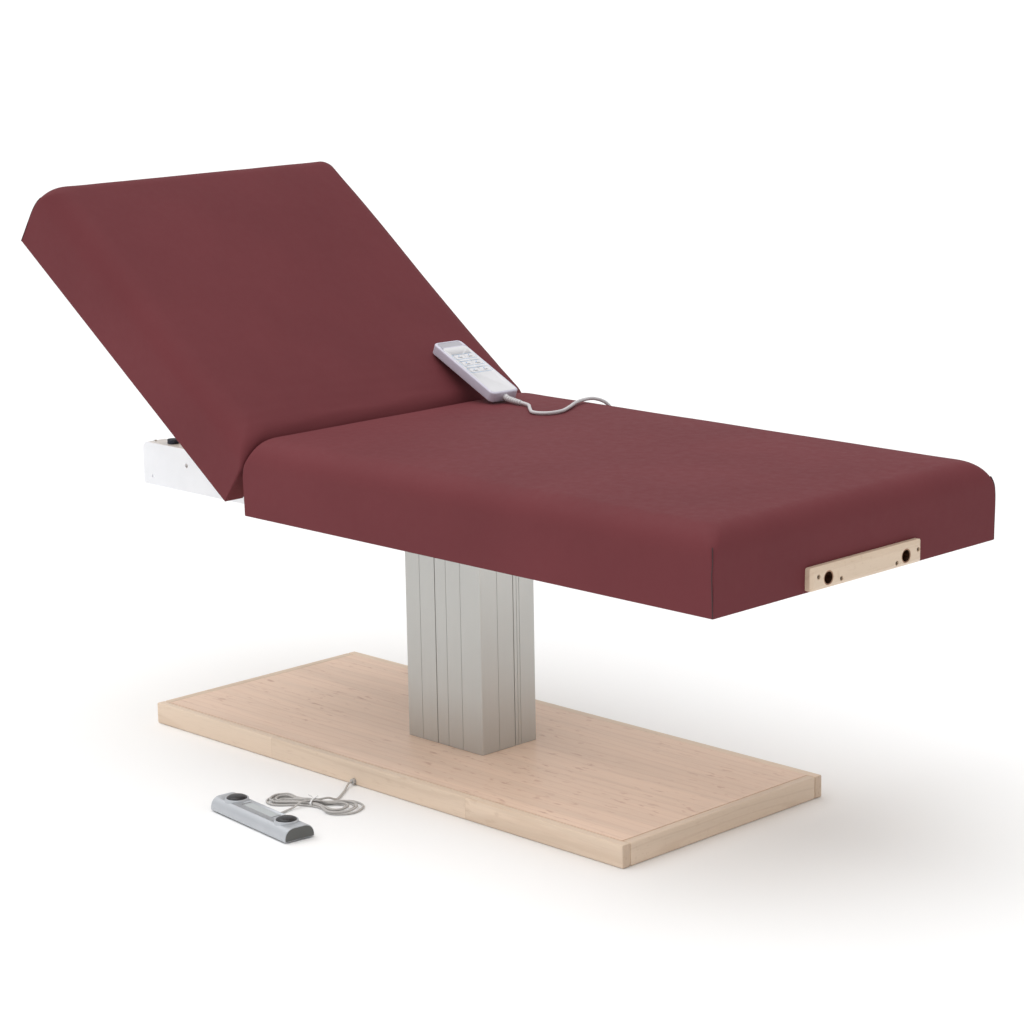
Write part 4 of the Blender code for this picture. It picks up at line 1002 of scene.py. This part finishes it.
def handset_place():
    """Turns handset axes (length from its lower end, width, normal) into world ones."""
    along = Vector((-cos(HANDSET_TILT) * cos(HANDSET_HEADING), cos(HANDSET_TILT) * sin(HANDSET_HEADING),
                    sin(HANDSET_TILT)))
    across = Vector((sin(HANDSET_HEADING), cos(HANDSET_HEADING), 0.0))
    turn = Matrix((along, across, across.cross(along))).transposed().to_4x4()
    return Matrix.Translation(HANDSET_FOOT) @ turn


def ring(x0, y0, x1, y1, radius, width, z0, z1):
    """A flat printed outline: the wall between two rounded rectangles."""
    outer = rounded(x0, y0, x1, y1, radius)
    inner = rounded(x0 + width, y0 + width, x1 - width, y1 - width, radius - width)
    shape = bmesh.new()
    loops = [[shape.verts.new((a, b, z)) for a, b in outline]
             for outline, z in ((outer, z0), (outer, z1), (inner, z1), (inner, z0))]
    skin_between(shape, loops + loops[:1])
    return shape


def handset_sheet(name, start, end, inset, radius, bottom, top, steps=6):
    """A flat piece or cutter across the handset, inset from both its long sides."""
    half = HANDSET_WIDTH / 2 - inset
    return slab(name, rounded(start, -half, end, half, radius, steps), bottom, top)


def key_outline(row, y, gap, radius):
    """A key's outline, larger by a gap all round."""
    x_half, y_half = KEY[0] / 2 + gap, KEY[1] / 2 + gap
    return rounded(row - x_half, y - y_half, row + x_half, y + y_half, radius)


def handset_shells():
    """The two halves, rounded along their outer edges only, so that a fine parting line is left."""
    half = HANDSET_WIDTH / 2
    outline = rounded(0.0, -half, HANDSET_LENGTH, half, 0.011, 8)
    shells = []
    for word, low, high, outer in (("back", 0.0, HANDSET_SPLIT - PARTING, 0.0),
                                   ("front", HANDSET_SPLIT + PARTING, HANDSET_THICK, HANDSET_THICK)):
        shape = prism(outline, "Z", low, high)
        bmesh.ops.recalc_face_normals(shape, faces=shape.faces)
        rim = [e for e in shape.edges if all(abs(v.co.z - outer) < 1e-6 for v in e.verts)]
        bmesh.ops.bevel(shape, geom=rim, offset=SHELL_ROUND, segments=5, affect="EDGES", profile=0.5)
        shells.append(bmesh_object(f"handset_{word}", shape, 35.0))
    return shells


def handset_body(looks, place):
    """Shells, face plate, window, and the outlines printed round each row of keys."""
    back, front = handset_shells()
    plate = handset_sheet("handset_face", *FACE, HANDSET_THICK - 0.0006, FACE_LEVEL, 8)
    cutters = [handset_sheet("seat", *FACE, HANDSET_THICK - 0.0007, CUT_LEVEL, 8),
               handset_sheet("window", 0.1875, 0.2045, 0.0075, 0.0040, HANDSET_THICK - 0.0009, CUT_LEVEL)]
    plate_wells = []
    for row in KEY_ROWS:
        for side in (-1, 1):
            well = key_outline(row, side * KEY_OUT, KEY_GAP, 0.0033)
            for group in (cutters, plate_wells):
                group.append(slab("well", well, HANDSET_THICK - 0.004, CUT_LEVEL))
    carve(front, *cutters)
    carve(plate, *plate_wells)

    window = handset_sheet("handset_window", 0.1877, 0.2043, 0.0077, 0.0038, HANDSET_THICK - 0.0009,
                           HANDSET_THICK - 0.0004)
    window_look = plastic("window_grey", (0.44, 0.43, 0.47), 0.35, 0.1)
    outline_look = plastic("outline_blue", (0.20, 0.45, 0.72), 0.4, 0.1)
    pieces = [(back, looks["handset_shell"], "handset_shell"),
              (front, looks["handset_shell"], "handset_shell"),
              (plate, looks["handset_face"], "handset_face"), (window, window_look, "handset_face")]
    edge = HANDSET_WIDTH / 2 - 0.0065
    for i, row in enumerate(KEY_ROWS):
        outline = ring(row - 0.0095, -edge, row + 0.0095, edge, 0.0050, 0.0006,
                       FACE_LEVEL - 0.0002, FACE_LEVEL + 0.00012)
        pieces.append((bmesh_object(f"handset_outline_{i + 1}", outline), outline_look, "handset_face"))
    for piece, look, slot in pieces:
        piece.data.transform(place)
        dress(piece, look, "handset")
    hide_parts("handset_back_shell")
    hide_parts("handset_front_shell")


def handset_keys(looks, place):
    """Six keys with generic printed marks: a small blue diamond over two short dark dashes."""
    blue_look = plastic("mark_blue", (0.05, 0.26, 0.60), 0.4, 0.1)
    ink_look = plastic("mark_ink", (0.03, 0.03, 0.035), 0.45, 0.1)
    low, high = KEY_LEVEL - PRINT_SINK, KEY_LEVEL + PRINT_RISE
    places = [(row, side * KEY_OUT) for row in KEY_ROWS for side in (-1, 1)]
    for number, (row, y) in enumerate(places, 1):
        key = slab(f"handset_key_{number}", key_outline(row, y, 0.0, 0.003), HANDSET_THICK - 0.0021,
                   KEY_LEVEL)
        soften(key, 0.0003, 2)
        diamond = [(row + 0.0046, y), (row + 0.0028, y - 0.0018), (row + 0.0010, y),
                   (row + 0.0028, y + 0.0018)]
        blue = slab(f"key_mark_{number}", diamond, low, high)
        dashes = [prism(rectangle(x, y + start, x + 0.0009, y + stop), "Z", low, high)
                  for x, start, stop in ((row - 0.0022, -0.0060, 0.0052), (row - 0.0042, -0.0030, 0.0060))]
        ink = bmesh_object(f"key_dashes_{number}", joined(dashes))
        for piece, look in ((key, looks["handset_face"]), (blue, blue_look), (ink, ink_look)):
            piece.data.transform(place)
            dress(piece, look, f"handset_button_{number}")
        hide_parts(f"handset_button_{number}")


def strain_relief(looks, place):
    """Ribbed sleeve from the handset's lower end to the cord."""
    route = smooth_route([place @ Vector((0.0006, 0.0, 0.0105)), (-0.0995, 0.2118, 0.6795),
                          (-0.0780, 0.2101, 0.6775), HANDSET_CORD_ROUTE[0]], 0.0004)
    radii = []
    for i in range(len(route)):
        t = i / (len(route) - 1)
        rib = ease((abs(sin(pi * RIBS * t)) - 0.35) / 0.3) if 0.16 < t < 0.97 else 1.0
        radii.append(0.0068 - 0.0019 * t - RIB_DEPTH * (1.0 - rib))
    boot = tube("strain_relief", route, radii, 24)
    dress(boot, looks["cord_grey"], "handset_tail")
    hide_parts("handset_strain_relief")


def handset(looks):
    place = handset_place()
    handset_body(looks, place)
    handset_keys(looks, place)
    strain_relief(looks, place)


# ---------------------------------------------------------------- foot switch

FOOT_PLACE = Matrix.Translation((0.003, -0.541, 0.0)) @ Matrix.Rotation(radians(-6.5), 4, "Z")
FOOT_HALF = (0.125, 0.032)
FOOT_HEIGHT = 0.027
FOOT_LIP = 0.0085  # the sides are upright up to here
FOOT_SWEEP = 0.0190  # and then sweep in by this much
BUTTON_OUT = 0.083
BUTTON_RADIUS = 0.0190
PEDESTAL_TOP = FOOT_HEIGHT + 0.003
LABEL_HALF = (0.047, 0.0100)


def foot_section(inset=0.0):
    """Flat-topped D section in YZ: low upright lips, then one sweep up to the top."""
    half, height = FOOT_HALF[1] - inset, FOOT_HEIGHT - inset
    low = 0.0020 + inset
    side = [(half - 0.0010, low), (half, low + 0.0015), (half, FOOT_LIP)]
    sweep = [(half - FOOT_SWEEP * (1 - cos(radians(a))) - 0.0004,
              FOOT_LIP + (height - FOOT_LIP) * sin(radians(a))) for a in range(8, 91, 8)]
    right = side + sweep + [(half - FOOT_SWEEP - 0.0015, height)]
    return right + [(-y, z) for y, z in reversed(right)]


def foot_body():
    """The housing, with a recess for its label and a well for each button."""
    body = bmesh_object("foot_switch_body", prism(foot_section(), "X", -FOOT_HALF[0], FOOT_HALF[0]))
    soften(body, 0.0012, 3, 50.0)
    long, wide = LABEL_HALF
    recess = rounded(-long, -wide, long, wide, 0.0015)
    well = rectangle(0.0, 0.010, 0.0196, 0.05)
    return carve(body, slab("recess", recess, FOOT_HEIGHT - 0.0008, FOOT_HEIGHT + 0.01),
                 *[turned_piece("well", well, Matrix.Translation((side * BUTTON_OUT, 0, 0)), 64)
                   for side in (-1, 1)])


def foot_button(side, word):
    """A raised collar and the domed button in it."""
    at = Matrix.Translation((side * BUTTON_OUT, 0.0, 0.0))
    top, radius = PEDESTAL_TOP, BUTTON_RADIUS
    collar = [(0.0195, 0.014), (0.0195, top - 0.0004), (0.0199, top), (0.0216, top), (0.0222, top - 0.0006),
              (0.0230, FOOT_HEIGHT - 0.001), (0.0250, 0.0195), (0.0230, 0.014), (0.0195, 0.014)]
    pedestal = turned_piece(f"pedestal_{word}", collar, at, 72, 50.0)
    dome = [(0.0, 0.0155), (radius, 0.0155), (radius, top + 0.0004), (0.0186, top + 0.0010),
            (0.0178, top + 0.0013)]
    dome += [(0.0172 * cos(radians(a)), top + 0.0014 + 0.0036 * sin(radians(a))) for a in range(0, 91, 9)]
    return pedestal, turned_piece(f"foot_key_{word}", dome, at, 64)


def foot_switch(looks):
    body = foot_body()
    pieces = [(body, looks["silver_plastic"], "silver_plastic", "base")]
    for side, word in ((-1, "up"), (1, "down")):
        pedestal, button = foot_button(side, word)
        pieces += [(pedestal, looks["silver_plastic"], "silver_plastic", "base"),
                   (button, looks["button_black"], "button_black", f"foot_button_{word}")]
        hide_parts(f"foot_button_{word}")
    end_look = plastic("end_grey", (0.105, 0.108, 0.102), 0.5)
    # The slots are thin dark strips set into the top: painted shade that stands in for grooves, which are not
    # cut.
    slot_shade_look = plastic("slot_painted_shade", (0.05, 0.05, 0.055), 0.5)
    for side, word in ((-1, "left"), (1, "right")):
        edges = sorted((side * (FOOT_HALF[0] - 0.001), side * (FOOT_HALF[0] + 0.0003)))
        end = bmesh_object(f"foot_end_{word}", prism(foot_section(0.0014), "X", *edges))
        x = side * 0.0500
        groove = rounded(x - 0.0007, -0.0105, x + 0.0007, 0.0105, 0.0006, 3)
        slot = slab(f"foot_slot_{word}", groove, FOOT_HEIGHT - 0.002, FOOT_HEIGHT + 0.00015)
        pieces += [(end, end_look, "button_black", "base"), (slot, slot_shade_look, "button_black", "base")]
    long, wide = (half - 0.0003 for half in LABEL_HALF)
    label = slab("foot_label", rounded(-long, -wide, long, wide, 0.0013), FOOT_HEIGHT - 0.0010,
                 FOOT_HEIGHT - 0.0003)
    label_look = plastic("label_grey", (0.47, 0.50, 0.51), 0.42, 0.2)
    pieces.append((label, label_look, "silver_plastic", "base"))
    for piece, look, slot, node in pieces:
        piece.data.transform(FOOT_PLACE)
        dress(piece, look, node)
    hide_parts("foot_switch_housing")


# ---------------------------------------------------------------- outlet plate and screws

OUTLET_SCREWS = ((-0.130, 0.548), (-0.070, 0.535), (0.080, 0.534), (0.139, 0.548))
SCREW_RADIUS = 0.0038
SCREW_RECESS = 0.0014 - 0.4 * SCREW_RADIUS
FRAME_SCREW = (-0.72, 0.201)


def screw_head(name, place, axis_turn, look):
    r = SCREW_RADIUS
    profile = [(0.0, -0.002), (r, -0.002), (r, 0.0003), (r * 0.85, 0.0010), (r * 0.4, 0.0014),
               (r * 0.38, SCREW_RECESS), (0.0, SCREW_RECESS)]
    dress(turned_piece(name, profile, Matrix.Translation(place) @ axis_turn, 24), look, "table_top")


def outlet(looks):
    """The maple plate with a bevelled front, bored for its two sockets, and its four sunk screws."""
    (x0, y0, z0), (x1, y1, z1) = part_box("outlet_plate")
    shape = bmesh.new()
    loops = []
    for x, inset, radius in ((x0 - 0.0026, 0.0, 0.0040), (x1 - 0.0042, 0.0, 0.0040), (x1, 0.0062, 0.0012)):
        outline = rounded(y0 + inset, z0 + inset, y1 - inset, z1 - inset, radius)
        loops.append([shape.verts.new((x, a, b)) for a, b in outline])
    skin_between(shape, loops)
    shape.faces.new(loops[0][::-1])
    shape.faces.new(loops[-1])
    plate = bmesh_object("outlet", shape, 25.0)
    turn = Matrix.Rotation(pi / 2, 4, "Y")
    cutters = []
    for node in ("peg_socket_front", "peg_socket_rear"):
        low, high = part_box(node)
        middle = (low + high) / 2
        radius = (high.y - low.y) / 2 + 0.0002
        place = Matrix.Translation((x1, middle.y, middle.z)) @ turn
        cutters.append(turned_piece("bore", rectangle(0.0, -0.05, radius, 0.05), place))
    sink = [(0.0, -0.006), (0.0040, -0.006), (0.0040, -0.0009), (0.0054, 0.0007), (0.0054, 0.01), (0.0, 0.01)]
    for y, z in OUTLET_SCREWS:
        cutters.append(turned_piece("sink", sink, Matrix.Translation((x1, y, z)) @ turn, 28))
    carve(plate, *cutters)
    soften(plate, 0.0004, 2, 20.0)
    dress(plate, looks["maple_plate"], "table_top")
    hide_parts("outlet_plate")
    dark = metal("screw_dark", (0.055, 0.045, 0.038), 0.42)
    for i, (y, z) in enumerate(OUTLET_SCREWS):
        screw_head(f"outlet_screw_{i + 1}", (x1 - 0.0052, y, z), turn, dark)


def frame_screws(looks):
    """One screw on top of each of the steel frame's rails, near their head end."""
    x, out = FRAME_SCREW
    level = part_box("frame_rail_front")[1][2] + 0.0002
    for side, word in ((-1, "front"), (1, "rear")):
        screw_head(f"rail_screw_{word}", (x, side * out, level), Matrix.Identity(4), looks["zinc_steel"])


def main():
    camera()
    stage()
    looks = material_looks()
    dress_cad_nodes(looks)
    upholstery(looks["burgundy_vinyl"])
    handset_cord()
    handset(looks)
    foot_cord()
    foot_switch(looks)
    outlet(looks)
    frame_screws(looks)


main()
